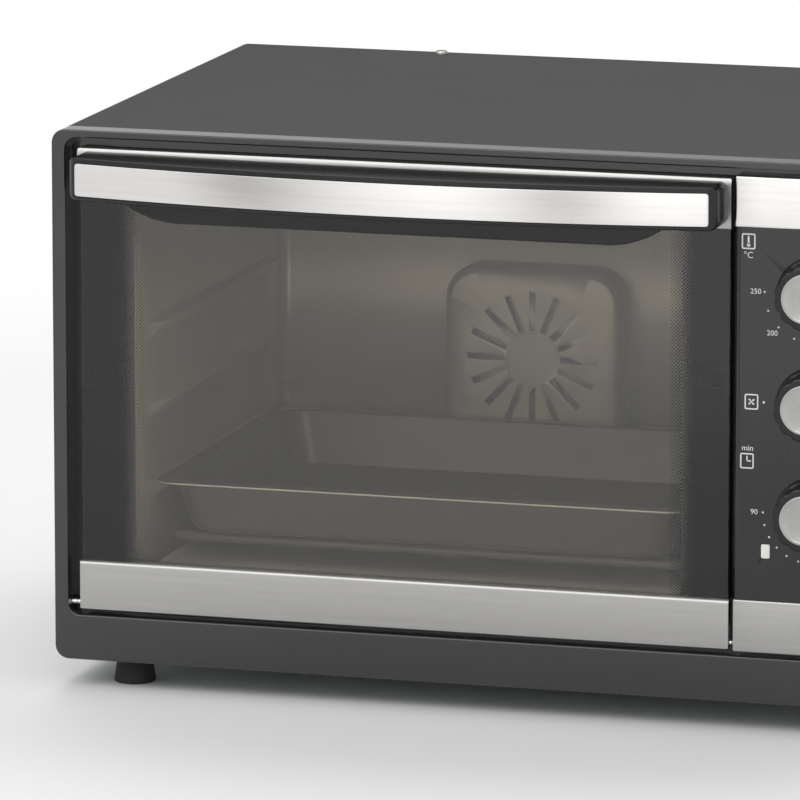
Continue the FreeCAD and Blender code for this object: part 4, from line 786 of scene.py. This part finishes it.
@dataclass
class Door:
    """Door: pane, two folded steel trims, packing, hinge parts and stays."""

    sheet: float = 0.8
    roll: float = 2.4
    roll_end: float = 3.2
    lean_radius: float = 9.0
    lean: float = 24.0
    top_fold: float = 1.2
    fold: float = 0.9
    hem: float = 2.0
    corner: float = 1.7
    glass_index: float = 1.52

    def section(self, height: float, depth: float, rolled: bool) -> np.ndarray:
        """Outline of a folded channel, open at the top: front flange, bottom, back flange.

        The front flange of the upper channel leans back on a wide arc before its tight fold.

        Args:
            height: height of the channel.
            depth: depth of the channel.
            rolled: whether the front flange ends in a roll towards the glass, or in a flat hem.

        Returns:
            Closed outline as depth and height.
        """
        sheet, fold = self.sheet, self.fold
        front_fold, lean = (fold, 0.0) if rolled else (self.top_fold, self.lean)
        spread = self.lean_radius - front_fold
        tight = self.lean_radius - spread * math.cos(math.radians(lean)), front_fold
        wide = self.lean_radius, front_fold + spread * math.sin(math.radians(lean))
        if rolled:
            roll = self.roll
            hem = np.vstack([
                arc((roll, height - roll), roll, 180, 90, 8), [(self.roll_end, height)],
                [(self.roll_end, height - sheet)], arc((roll, height - roll), roll - sheet, 90, 180, 6)])
        else:
            hem = np.vstack([
                arc((sheet, height - sheet), sheet, 180, 0, 8), [(2 * sheet, height - self.hem)],
                [(sheet, height - self.hem)]])
        return np.vstack([
            hem, arc(wide, self.lean_radius - sheet, 180, 180 + lean),
            arc(tight, front_fold - sheet, 180 + lean, 270),
            [(depth - sheet, sheet), (depth - sheet, height), (depth, height)],
            arc((depth - fold, fold), fold, 0, -90), arc(tight, front_fold, 270, 180 + lean),
            arc(wide, self.lean_radius, 180 + lean, 180)])

    def trim(self, node: str, rolled: bool) -> Patch:
        """Channel carried along the door, with its two outer corners rounded off."""
        low, high = box_mm(node)
        middle, half = span(node)
        offset = bar_offsets(half[0], self.corner, 16)
        outline = self.section(high[2] - low[2], high[1] - low[1], rolled)
        drop = corner_drop(half[0] - np.abs(offset), self.corner)[:, None]
        rise = np.maximum(outline[None, :, 1], drop)
        height = low[2] + rise if rolled else high[2] - rise
        across = middle[0] + offset[:, None] + 0 * height
        return loft(Plane.FRONT.lift(across, height, low[1] + outline[None, :, 0]))

    def build(self) -> None:
        """Makes the trims and dresses the pane and the hardware."""
        low, high = box_mm("door_glass")
        pane = PaneFinish("soda_lime_glass_tempered_printed", "door_glass", "#060606", "#060606", 0.0,
                          left=low[0], right=high[0], middle_depth=(low[1] + high[1]) / 2,
                          ior=self.glass_index)
        keep("door_glass", pane)
        for node, rolled in (("door_top_trim", False), ("door_bottom_trim", True)):
            make(f"{node}_channel", self.trim(node, rolled), STEEL, [node], crease=30)
        skin("glass_packing")
        skin("hinge_blocks", edge=0.3)
        skin("hinge_pin_left", "door_stay_left", "hinge_pin_right", "door_stay_right")


@dataclass
class Cavity:
    """Oven cavity: side walls with pressed guides, rear wall with rounded corners, roof, floor, rods."""

    levels: tuple[float, ...] = (53.0, 99.0, 145.0)
    guide_depth: float = 7.0
    guide_gap: float = 22.0
    run_out: float = 16.0
    sheet: float = 0.8
    rear_corner: float = 4.0
    clearance: float = 0.25

    def side_wall(self, node: str, inward: int) -> Patch:
        """Wall as a height field: a rib profile in Z times a window in Y that eases in and out."""
        low, high = box_mm(node)
        face = high[0] - self.guide_depth if inward > 0 else low[0] + self.guide_depth
        rib_z = np.array([-9.6, -9.0, -8.2, -7.4, -1.9, -1.2, -0.7, -0.3, -0.02, 0.5, 1.4])
        rib_share = np.array([0, 0.12, 0.3, 0.43, 0.92, 0.99, 1.0, 0.93, 0.12, 0.03, 0])
        crests = low[2] + np.array(self.levels)
        z = np.concatenate([[low[2]], *[crest + rib_z for crest in crests], [high[2]]])
        depth_z = np.concatenate([[0], *[rib_share for _ in crests], [0]])
        ease = np.linspace(0, 1, 7)
        starts = low[1] + self.guide_gap, high[1] - self.guide_gap
        y = np.concatenate([[low[1]], starts[0] + self.run_out * ease, starts[1] - self.run_out * ease[::-1],
                            [high[1]]])
        window = np.concatenate([[0], ease ** 2 * (3 - 2 * ease), (ease ** 2 * (3 - 2 * ease))[::-1], [0]])
        x = face + inward * self.guide_depth * depth_z[:, None] * window[None, :]
        return loft(np.stack([x, y[None, :] + 0 * x, z[:, None] + 0 * x], axis=-1), closed=False)

    def rear_wall(self) -> Patch:
        """Rear wall: straight across, turned forwards at both sides on a quarter circle."""
        low, high = box_mm("cavity_rear_wall")
        left, right = low[0] + self.sheet + self.clearance, high[0] - self.sheet - self.clearance
        depth, radius = low[1], self.rear_corner
        path = np.vstack([
            arc((left + radius, depth - radius), radius, 180, 90, 8),
            arc((right - radius, depth - radius), radius, 90, 0, 8)])
        z = np.array([low[2] + self.sheet, high[2] - self.sheet])[:, None] + 0 * path[None, :, 0]
        return loft(Plane.LEVEL.lift(path[None, :, 0], path[None, :, 1], z), closed=False)

    def build(self) -> None:
        """Makes the walls and dresses everything that stands in or on the cavity."""
        for node, inward in (("cavity_left_wall", 1), ("cavity_right_wall", -1)):
            make(f"{node}_pressing", self.side_wall(node, inward), LINER, [node], sheet=self.sheet,
                 facing=(inward, 0, 0), crease=60)
        make("cavity_rear_wall_pressing", self.rear_wall(), LINER, ["cavity_rear_wall"], sheet=self.sheet,
             facing=(0, -1, 0), crease=60)
        keep("cavity_roof")
        keep("cavity_floor")
        skin("cavity_face_plate", crease=60)
        skin("cavity_support", edge=0.3)
        skin("upper_heating_element", "lower_heating_element")
        skin("element_bushes", edge=0.4)
        # The crumb tray gets the aluminised sheet painted lighter, standing in for light under the baking
        # tray.
        skin("crumb_tray", edge=0.25, finish=LIGHTER_CRUMB_SHEET)


@dataclass
class BakingTray:
    """Pressed tray: flat rim with a rolled edge, sloped walls, round corners."""

    corner: float = 14.0
    rim: float = 9.0
    taper: float = 7.0
    sheet: float = 1.0
    foot_round: float = 5.0
    lip_round: float = 1.2

    def pressing(self) -> Patch:
        """Round-cornered loops from the floor over the rim and back under it, closed below."""
        low, high = box_mm("baking_tray")
        top, floor = high[2], low[2]
        wall = self.rim + self.taper
        centre = (wall + self.foot_round, floor + self.sheet + self.foot_round)
        inside = arc(centre, self.foot_round, 270, 190, 5)
        lip = arc((self.rim - self.lip_round, top - self.lip_round), self.lip_round, 20, 90, 3)
        roll = arc((self.sheet / 2, top - self.sheet / 2), self.sheet / 2, 90, 270, 6)
        profile = np.vstack([
            inside, [(self.rim + 0.6, top - 3.2)], lip, roll,
            [(self.rim + self.sheet, top - self.sheet)],
            [(wall + self.sheet, floor + self.foot_round)], [(wall + self.sheet + 1.2, floor + 1.5)],
            [(wall + self.foot_round, floor)]])
        return loft(nested_loops(Plane.LEVEL, low[:2], high[:2], self.corner, profile, keep_radius=True))

    def bead(self) -> Patch:
        """Rolled outer edge of the rim: a round section carried along the outline."""
        low, high = box_mm("baking_tray")
        radius = self.sheet / 2
        profile = arc((radius * 0.7, high[2] - radius), radius, 0, 324, 9)
        return loft(nested_loops(Plane.LEVEL, low[:2], high[:2], self.corner, profile, keep_radius=True),
                    joined=True)

    def build(self) -> None:
        """Makes the tray."""
        make("baking_tray_pressing", self.pressing(), ENAMEL, ["baking_tray"], crease=40)
        # The rolled edge carries the rim's pale painted highlight.
        make("baking_tray_rolled_edge", self.bead(), RIM_PAINTED_HIGHLIGHT, body="oven", crease=60)


@dataclass
class Convection:
    """Fan behind its dished cover, with its motor."""

    def build(self) -> None:
        """Dresses the fan's parts."""
        skin("fan_cover", crease=60)
        skin("fan_wheel", edge=0.2)
        skin("fan_shaft")
        skin("fan_motor", crease=40)


class Symbol(Enum):
    """Signs printed round the function dial, each by the parts that it shows."""

    TOP_HEAT = ("top",)
    BOTTOM_HEAT = ("bottom",)
    BOTH_AND_FAN = ("top", "bottom", "fan")
    FAN = ("fan",)


@dataclass
class Scale:
    """What is printed round one dial: figures by angle, dots every so many degrees, signs by angle."""

    figures: dict = field(default_factory=dict)
    dots: float = 0.0
    signs: dict = field(default_factory=dict)


@dataclass
class Controls:
    """Control fascia with steel end plates, lamp, three knobs and what is printed on the panel."""

    plate_round: float = 0.9
    plate_edge: float = 1.2
    plate_depth: float = 1.2
    lens_half: tuple[float, float] = (2.5, 4.0)
    lens_corner: float = 0.9
    cap_proud: float = 0.2
    grip_inset: float = 2.0
    rib_half: float = 0.8
    rib_length: float = 8.8
    scallops: int = 12
    scallop_steps: int = 12
    scallop_depth: float = 0.9
    dot_radius: float = 27.5
    figure_radius: float = 32.5
    sign_radius: float = 34.5
    zero_dot: float = 0.9
    scale_dot: float = 0.55
    sign_dot: float = 0.7
    figure_size: float = 4.2
    sign_inset: float = 7.6
    heat_sign_rise: float = 27.8
    time_sign_rise: float = 28.6
    ink: float = 0.08
    ink_sunk: float = 0.02
    line: float = 0.75
    sign_half: float = 3.9
    sign_tall: float = 1.12
    bar_half: float = 1.9
    bar_rise: float = 2.3
    bar_width: float = 0.7
    turn: float = 270.0

    def __post_init__(self) -> None:
        """Takes the place of the panel from the frame."""
        low, _ = box_mm("fascia")
        self.left, self.face = low[:2]
        self.centres = {dial: span(f"{dial}_shaft")[0] for dial in ("temperature", "function", "timer")}

    def plate(self, node: str) -> Patch:
        """Steel end plate: flat, rounded back at both sides like the moulding under it."""
        low, high = box_mm(node)
        middle, half = span(node)
        offset = bar_offsets(half[0], self.plate_round, 8)
        face = low[1] + corner_drop(half[0] - np.abs(offset), self.plate_round)
        back = np.maximum(face + self.plate_depth, high[1])
        return loft(bar_rings(middle[0] + offset, face, back, low[2], high[2], self.plate_edge))

    def knob(self, dial: str) -> Patch:
        """Knob: a turned profile whose grip is scalloped by raised cosines round the turn."""
        low, high = box_mm(f"{dial}_knob")
        radius, height = (high[0] - low[0]) / 2, high[1] - low[1]
        grip, cap = radius - self.grip_inset, span(f"{dial}_knob_cap")[1][0]
        rows = np.array([
            (radius - 0.9, 0, 0), (radius - 0.2, 0.3, 0), (radius, 0.9, 0), (radius - 0.4, 3.0, 0),
            (radius - 0.8, 3.7, 0), (radius - 1.5, 4.1, 0), (grip + 0.1, 4.5, 0.5), (grip, 5.4, 1),
            (grip - 0.3, height - 1.8, 1), (grip - 0.6, height - 0.8, 1), (grip - 1.3, height - 0.2, 0.8),
            (grip - 2.2, height, 0.4), (cap + 0.35, height, 0), (cap + 0.05, height - 0.3, 0),
            (cap + 0.05, height - 1.1, 0)])
        turn = np.linspace(0, 2 * math.pi, self.scallop_steps * self.scallops, endpoint=False)
        wave = np.clip((np.cos(self.scallops * turn) + 0.3) / 1.3, 0, 1) ** 1.5
        around = rows[:, :1] - self.scallop_depth * rows[:, 2:] * wave
        middle = self.centres[dial][[0, 2]]
        return loft(turned(Plane.FRONT, middle, around, high[1] - rows[:, 1:2], len(turn)))

    def cap(self, dial: str) -> Patch:
        """Steel cap: turned with a shallow dish, and a pointer rib with round ends."""
        low, high = box_mm(f"{dial}_knob_cap")
        radius, centre = (high[0] - low[0]) / 2, self.centres[dial]
        nose = box_mm(f"{dial}_knob")[0][1]
        face = nose - self.cap_proud
        rows = np.array([
            (radius - 0.2, nose + 1.1), (radius - 0.02, nose + 0.6), (radius - 0.02, face + 0.3),
            (radius - 0.1, face + 0.08), (radius - 0.3, face), (radius - 1.3, face),
            (radius - 1.5, face + 0.12), (radius - 1.7, face + 0.2), (radius * 0.5, face + 0.25),
            (0.8, face + 0.28)])
        body = loft(turned(Plane.FRONT, centre[[0, 2]], rows[:, :1], rows[:, 1:2], 72))
        end = (centre[0] + self.rib_half, centre[2] + radius - 1.0)
        start = (centre[0] - self.rib_half, end[1] - self.rib_length)
        rib = loft(nested_loops(Plane.FRONT, start, end, self.rib_half, [
            (0.0, face + 0.5), (0.0, low[1] + 0.3), (0.1, low[1] + 0.1), (0.35, low[1])]))
        return Patch.join([body, rib])

    def lens(self) -> Patch:
        """Lamp window: a rounded block with a soft front edge."""
        low, high = box_mm("indicator_lens")
        middle, half = ((low + high) / 2)[[0, 2]], np.array(self.lens_half)
        return loft(nested_loops(Plane.FRONT, middle - half, middle + half, self.lens_corner, [
            (0.0, high[1]), (0.0, low[1] + 0.4), (0.12, low[1] + 0.15), (0.45, low[1])]))

    def stamp(self, loop: np.ndarray, hole: Optional[np.ndarray] = None) -> Patch:
        """A flat printed shape of the ink's thickness: filled, or with a hole of as many points."""
        flat = np.stack([loop, loop] if hole is None else [loop, loop, hole, hole])
        back, front = self.face + self.ink_sunk, self.face - self.ink
        depth = np.array([back, front, front, back])[:len(flat), None] + 0 * loop[:, 0]
        return loft(Plane.FRONT.lift(flat[..., 0], flat[..., 1], depth), joined=hole is not None)

    def dot(self, x: float, z: float, radius: float) -> Patch:
        """A printed round dot."""
        return self.stamp(arc((x, z), radius, 0, 345, 23))

    def strip(self, start: Sequence[float], end: Sequence[float], width: float) -> Patch:
        """A printed straight line with round ends."""
        start, end = np.array(start, float), np.array(end, float)
        angle = math.degrees(math.atan2(*(end - start)[::-1]))
        return self.stamp(np.vstack([arc(end, width / 2, angle - 90, angle + 90, 5),
                                     arc(start, width / 2, angle + 90, angle + 270, 5)]))

    def square(self, x: float, z: float) -> Patch:
        """A printed square frame with rounded corners."""
        half = np.array([self.sign_half, self.sign_half * self.sign_tall])
        middle = np.array([x, z])
        inner = half - self.line
        return self.stamp(rounded_loop(middle - half, middle + half, 1.0, 4),
                          rounded_loop(middle - inner, middle + inner, 0.4, 4))

    def fan_sign(self, x: float, z: float) -> list[Patch]:
        """Four leaning blades round a hub, each a small leaf."""
        shapes = [self.dot(x, z, 0.5)]
        for blade in range(4):
            angle = math.radians(45 + 90 * blade)
            reach = np.array([math.cos(angle), math.sin(angle)])
            side = np.array([-reach[1], reach[0]])
            leaf = np.array([(0.5, 0.0), (1.1, -0.55), (1.9, -0.5), (2.3, 0.1), (1.7, 0.45), (1.0, 0.35)])
            shapes.append(self.stamp(np.array([x, z]) + leaf[:, :1] * reach + leaf[:, 1:] * side))
        return shapes

    def sign(self, symbol: Symbol, x: float, z: float) -> list[Patch]:
        """One sign of the function dial, in its square."""
        shapes = [self.square(x, z)]
        for bar, rise in (("top", self.bar_rise), ("bottom", -self.bar_rise)):
            if bar in symbol.value:
                left, right = (x - self.bar_half, z + rise), (x + self.bar_half, z + rise)
                shapes.append(self.strip(left, right, self.bar_width))
        return shapes + self.fan_sign(x, z) if "fan" in symbol.value else shapes

    def words(self, text: str, x: float, z: float, size: float) -> Patch:
        """Printed figures or letters as a thin mesh, centred on a point."""
        curve = bpy.data.curves.new("figures", "FONT")
        curve.body = text
        curve.size = size
        curve.align_x = curve.align_y = "CENTER"
        curve.extrude = self.ink / 2
        curve.resolution_u = 3
        holder = linked("figures", curve)
        bpy.context.view_layer.update()
        mesh = bpy.data.meshes.new_from_object(holder.evaluated_get(bpy.context.evaluated_depsgraph_get()))
        points = mesh_points(mesh).astype(float)
        faces = [list(face.vertices) for face in mesh.polygons]
        bpy.data.objects.remove(holder)
        bpy.data.curves.remove(curve)
        bpy.data.meshes.remove(mesh)
        basis = np.array([(1, 0, 0), (0, 0, 1), (0, -1, 0)], float)
        return Patch(points, faces).moved(basis, (x, self.face - self.ink / 2, z))

    def at(self, dial: str, angle: float, radius: float) -> tuple[float, float]:
        """A place round a dial: clockwise from straight up, at a distance from its centre."""
        turn = math.radians(angle)
        centre = self.centres[dial]
        return centre[0] + radius * math.sin(turn), centre[2] + radius * math.cos(turn)

    def marks(self) -> Patch:
        """Everything that is printed on the panel."""
        scales = {
            "temperature": Scale({45: "50", 90: "100", 180: "150", 225: "200", 270: "250"}, 22.5),
            "function": Scale(signs={
                45: Symbol.TOP_HEAT, 90: Symbol.BOTTOM_HEAT, 135: Symbol.BOTH_AND_FAN, 270: Symbol.FAN}),
            "timer": Scale({45: "15", 90: "30", 135: "45", 180: "60", 270: "90"}, 15.0),
        }
        shapes = []
        for dial, scale in scales.items():
            shapes.append(self.dot(*self.at(dial, 0, self.dot_radius), self.zero_dot))
            if scale.dots:
                angles = np.arange(scale.dots, self.turn + 1, scale.dots)
                shapes += [self.dot(*self.at(dial, angle, self.dot_radius), self.scale_dot)
                           for angle in angles]
            for angle, text in scale.figures.items():
                place = self.at(dial, angle, self.figure_radius)
                shapes.append(self.words(text, *place, self.figure_size))
            for angle, symbol in scale.signs.items():
                shapes.append(self.dot(*self.at(dial, angle, self.dot_radius), self.sign_dot))
                shapes += self.sign(symbol, *self.at(dial, angle, self.sign_radius))
        x, z = self.left + self.sign_inset, self.centres["temperature"][2] + self.heat_sign_rise
        shapes += [self.square(x, z), self.strip((x, z - 1.4), (x, z + 2.5), 1.0),
                   self.dot(x, z - 2.0, 1.0), self.words("°C", x, z - 7.8, 5.0)]
        z = self.centres["timer"][2] + self.time_sign_rise
        shapes += [self.square(x, z), self.strip((x, z), (x, z + 2.6), 0.7),
                   self.strip((x, z), (x + 2.0, z), 0.7), self.words("min", x + 0.3, z + 7.2, 4.6)]
        return Patch.join(shapes)

    def build(self) -> None:
        """Makes the panel's pieces."""
        skin("fascia")
        # Both plates are the same steel; the upper one is painted lighter, as if more brightly lit.
        for node, steel in (("fascia_top_plate", LIGHTER_PAINTED_STEEL), ("fascia_bottom_plate", STEEL)):
            make(f"{node}_folded", self.plate(node), steel, [node], crease=30)
        for dial, centre in self.centres.items():
            make(f"{dial}_knob_moulding", self.knob(dial), KNOB, [f"{dial}_knob"], crease=40)
            make(f"{dial}_knob_cap_turned", self.cap(dial), STEEL, [f"{dial}_knob_cap"], crease=30,
                 centre=centre)
            skin(f"{dial}_shaft")
        make("indicator_lens_window", self.lens(), LENS, ["indicator_lens"])
        make("panel_marks", self.marks(), INK, body="oven")
        skin("lamp_holder", edge=0.2)
        skin("thermostat", "function_switch", "timer_unit", crease=40, edge=0.3)
        skin("timer_bell")


@dataclass
class Casing:
    """Outside of the oven: front rim, wrap, rear panel, base, feet, spacers, inlet and screws."""

    rim_side: float = 8.05
    rim_top: float = 4.5
    rim_bottom: float = 26.0
    rim_wall: float = 1.5
    rim_edge: float = 0.9
    corner: float = 8.0
    pocket_corners: tuple[float, ...] = (7.0, 3.0, 3.0, 7.0)
    foot_hollow: float = 6.0
    foot_top: float = 9.5
    sheet: float = 0.8
    screw_radius: float = 3.6
    screw_height: float = 1.8
    cross_arm: float = 1.8
    cross_half: float = 0.468
    screw_front: float = -74.9
    screw_rear: float = 70.0
    screw_side: float = 130.0
    fold: float = 10.0

    def rim(self) -> Patch:
        """Front rim: a thin wall from its outer edge over the front into the pocket, and back inside.

        The loops outside are inset from the outline of the oven, those inside are grown from the
        pocket; the two edges that the hand meets are quarter rounds.
        """
        low, high = box_mm("front_frame")
        front, back, wall, edge = low[1], high[1], self.rim_wall, self.rim_edge
        past, short = quarter(6)
        outer = [(0.0, back), (0.0, front + edge + 0.3), *zip(edge * past, front + edge * short)]
        outer.append((edge + 0.3, front))
        inner = [(-grown, depth) for grown, depth in outer[::-1]]
        hidden_inner = [(-wall, back), (-wall, front + wall)]
        hidden_outer = [(wall, front + wall), (wall, back)]
        pocket_low = low[0] + self.rim_side, low[2] + self.rim_bottom
        pocket_high = high[0] - self.rim_side, high[2] - self.rim_top
        around = [
            nested_loops(Plane.FRONT, low[[0, 2]], high[[0, 2]], self.corner, outer),
            nested_loops(Plane.FRONT, pocket_low, pocket_high, self.pocket_corners, inner + hidden_inner),
            nested_loops(Plane.FRONT, low[[0, 2]], high[[0, 2]], self.corner, hidden_outer)]
        return loft(np.concatenate(around), joined=True)

    def foot(self, node: str) -> Patch:
        """Foot: a turned cone with a rounded sole and a hollow underside."""
        middle, half = span(node)
        radius, top = half[0], box_mm("base_pan")[0][2]
        rows = np.array([
            (self.foot_top, top), (self.foot_top + 0.3, top - 0.8), (radius - 0.25, 2.4), (radius, 1.6),
            (radius - 0.2, 0.6), (radius - 0.9, 0.0), (self.foot_hollow + 0.6, 0.0), (self.foot_hollow, 0.6),
            (self.foot_hollow, top - 4.0)])
        return loft(turned(Plane.LEVEL, middle, rows[:, :1], rows[:, 1:]))

    def screw(self, place: Sequence[float], outward: Sequence[float]) -> Patch:
        """Pan head with a cross recess: circles that end in a cross-shaped loop, sunk and filled.

        The cross is the larger of two rectangles at each angle, so it is one loop round the centre.
        """
        radius, height = self.screw_radius, self.screw_height
        turn = np.linspace(0, 2 * math.pi, 48, endpoint=False)
        cosine, sine = np.maximum(abs(np.cos(turn)), 1e-6), np.maximum(abs(np.sin(turn)), 1e-6)
        arm, half = self.cross_arm, self.cross_half
        cross = np.maximum(np.minimum(arm / cosine, half / sine), np.minimum(half / cosine, arm / sine))
        head = np.array([(1.0, -0.1), (1.0, 0.45), (0.96, 0.68), (0.85, 0.86), (0.68, 0.97)])
        around = np.vstack([head[:, :1] * radius + 0 * turn, cross, cross * 0.85])
        depth = np.array([*head[:, 1], 1.0, 0.45])[:, None] * height
        rings = turned(Plane.LEVEL, (0, 0), around, depth)
        normal = Vector(outward)
        side = normal.orthogonal().normalized()
        basis = np.array([side, normal.cross(side), normal])
        return loft(rings).moved(basis, place)

    def screws(self) -> Patch:
        """The eight screws of the casing: along its lower edges and round its rear edge."""
        low, high = box_mm("outer_casing")
        pan = box_mm("base_pan")
        height = (pan[0][2] + pan[1][2] + self.sheet) / 2
        rows = [(y, height) for y in (self.screw_front, high[1] - self.screw_rear)]
        rows.append((high[1] - self.fold / 2, (low[2] + high[2]) / 2))
        patches = []
        for x, outward in ((low[0], (-1, 0, 0)), (high[0], (1, 0, 0))):
            patches += [self.screw((x, y, z), outward) for y, z in rows]
        for x in (low[0] + self.screw_side, high[0] - self.screw_side):
            patches.append(self.screw((x, high[1] - self.fold / 2, high[2]), (0, 0, 1)))
        return Patch.join(patches)

    def build(self) -> None:
        """Makes and dresses the pieces of the outside."""
        make("front_frame_rim", self.rim(), FRAME, ["front_frame"])
        skin("outer_casing", "rear_panel", "base_pan")
        for corner in ("front_left", "front_right", "rear_left", "rear_right"):
            make(f"foot_{corner}_moulded", self.foot(f"foot_{corner}"), RUBBER, [f"foot_{corner}"])
        skin("wall_spacers", edge=0.5)
        skin("cord_gland")
        skin("terminal_block", edge=0.4)
        skin("hinge_bushes", finish=BUSH)
        make("casing_screws_pan_head", self.screws(), ZINC, ["casing_screws"], crease=45)


# Studio


@dataclass(frozen=True)
class Lamp:
    """A soft box: where it stands, what it looks at, its width and height in metres, and its power."""

    name: str
    place: tuple[float, float, float]
    target: tuple[float, float, float]
    size: tuple[float, float]
    watts: float


@dataclass
class Studio:
    """Pale floor, plain light and the camera of the photograph."""

    yaw: float = 16.5
    pitch: float = 10.8
    focal_pixels: float = 8394.0
    image_pixels: float = 800.0
    sensor: float = 36.0
    distance: float = 4.699
    target_shift: float = -0.3
    target_height: float = 177.0
    fill: float = 0.62
    floor_near: float = 0.75
    floor_far: float = 1.35
    floor_margin: float = 0.027
    lamps: tuple[Lamp, ...] = (
        Lamp("front_softbox", (-0.55, -1.7, 1.6), (-0.05, 0.0, 0.2), (2.4, 1.1), 19.0),
        Lamp("overhead_softbox", (-0.1, 0.9, 2.0), (0.0, 0.0, 0.2), (2.0, 1.2), 15.0),
    )

    @staticmethod
    def stand(name: str, data: bpy.types.ID, place: Vector, direction: Vector) -> Shape:
        """A camera or a lamp in the scene, looking along a direction."""
        holder = linked(name, data)
        holder.location = place
        holder.rotation_euler = direction.to_track_quat("-Z", "Y").to_euler()
        return holder

    def camera(self) -> None:
        """Camera on a long lens, turned and tipped as the photograph was taken."""
        trim = box_mm("door_bottom_trim")[0]
        across = span("door_glass")[0][0] + self.target_shift
        target = Vector((across, trim[1], self.target_height)) * MM
        yaw, pitch = math.radians(self.yaw), math.radians(self.pitch)
        level = math.cos(pitch)
        forward = Vector((-math.sin(yaw) * level, math.cos(yaw) * level, -math.sin(pitch)))
        data = bpy.data.cameras.new("photograph_camera")
        data.sensor_width = self.sensor
        data.lens = self.focal_pixels * self.sensor / self.image_pixels
        data.clip_end = 100.0
        place = target - forward * self.distance
        bpy.context.scene.camera = self.stand("photograph_camera", data, place, forward)

    def light(self) -> None:
        """Soft boxes, hidden from the camera."""
        for lamp in self.lamps:
            data = bpy.data.lights.new(lamp.name, "AREA")
            data.shape = "RECTANGLE"
            data.size, data.size_y = lamp.size
            data.energy = lamp.watts
            place = Vector(lamp.place)
            self.stand(lamp.name, data, place, Vector(lamp.target) - place).visible_camera = False

    def surroundings(self) -> None:
        """White room: even fill for matt surfaces; for mirrors its brightness follows the compass.

        The stops are the brightness of the room seen by a mirror, by the angle from straight ahead
        of the door, from 180 degrees on its left to 180 degrees on its right. High up behind the oven
        the room is dimmer, so that faces seen at a low angle stay dark.
        """
        world = bpy.data.worlds.new("white_studio")
        bpy.context.scene.world = world
        tree = cleared(world)
        step = partial(maths, tree)
        view = add(tree, "ShaderNodeTexCoord").outputs["Generated"]
        x, y, z = add(tree, "ShaderNodeSeparateXYZ", {"Vector": view}).outputs
        turn = step("ARCTAN2", x, step("MULTIPLY", y, -1.0))
        ramp = add(tree, "ShaderNodeValToRGB", {"Fac": mapped(tree, turn, (-math.pi, math.pi))})
        stops = ((-180, 0.9), (-60, 0.85), (-36, 0.9), (-32, 1.0), (-27, 0.28), (-22, 0.9), (-12, 1.45),
                 (-7, 1.1), (-2.8, 0.4), (2.5, 1.5), (15, 1.1), (60, 0.95), (180, 0.9))
        elements = ramp.color_ramp.elements
        while len(elements) < len(stops):
            elements.new(0.5)
        for element, (angle, level) in zip(elements, stops):
            element.position = (angle + 180) / 360
            element.color = (level, level, level, 1)
        both = step("MULTIPLY", mapped(tree, y, (0.0, 0.4)), mapped(tree, z, (0.02, 0.2)))
        shade = mapped(tree, both, (0.0, 1.0), (1.0, 0.4))
        rays = add(tree, "ShaderNodeLightPath")
        mirrored = add(tree, "ShaderNodeBackground", {"Color": ramp, "Strength": shade})
        plain, seen = (add(tree, "ShaderNodeBackground", {"Color": (1, 1, 1, 1), "Strength": strength})
                       for strength in (self.fill, 1.0))
        room = mixed(tree, rays.outputs["Is Glossy Ray"], plain, mirrored)
        room = mixed(tree, rays.outputs["Is Transmission Ray"], room, seen)
        room = mixed(tree, rays.outputs["Is Camera Ray"], room, seen)
        add(tree, "ShaderNodeOutputWorld", {"Surface": room})

    def floor(self) -> None:
        """Pale table under the feet that fades into the white room."""
        reach = self.floor_far + self.floor_margin
        corners = np.array([(-reach, -reach, 0), (reach, -reach, 0), (reach, reach, 0), (-reach, reach, 0)])
        mesh = bpy.data.meshes.new("studio_floor")
        mesh.from_pydata(corners.tolist(), [], [(0, 1, 2, 3)])
        material = bpy.data.materials.new("paper_backdrop_matt")
        tree = cleared(material)
        place = add(tree, "ShaderNodeTexCoord").outputs["Object"]
        tone = toned(tree, Grain(300.0).spread(tree, place), "#f4f4f4", "#f7f7f7")
        matt = add(tree, "ShaderNodeBsdfDiffuse", {"Color": tone})
        away = add(tree, "ShaderNodeVectorMath", {0: place}, operation="LENGTH").outputs["Value"]
        gone = mapped(tree, away, (self.floor_near, self.floor_far), interpolation_type="SMOOTHSTEP")
        faded = mixed(tree, gone, matt, add(tree, "ShaderNodeBsdfTransparent"))
        add(tree, "ShaderNodeOutputMaterial", {"Surface": faded})
        mesh.materials.append(material)
        linked("studio_floor", mesh)

    def build(self) -> None:
        """Sets the scene and the plain view transform."""
        bpy.context.scene.view_settings.view_transform = "Standard"
        for part in (self.camera, self.light, self.surroundings, self.floor):
            part()


def main() -> None:
    """Builds the sub-assemblies in order."""
    logging.basicConfig(level=logging.INFO, format="%(message)s")
    for assembly in (Casing(), Cavity(), BakingTray(), Convection(), Controls(), Door(), Handle(), Studio()):
        LOG.info("building %s", type(assembly).__name__)
        assembly.build()
    bpy.context.view_layer.update()


if __name__ == "__main__":
    main()
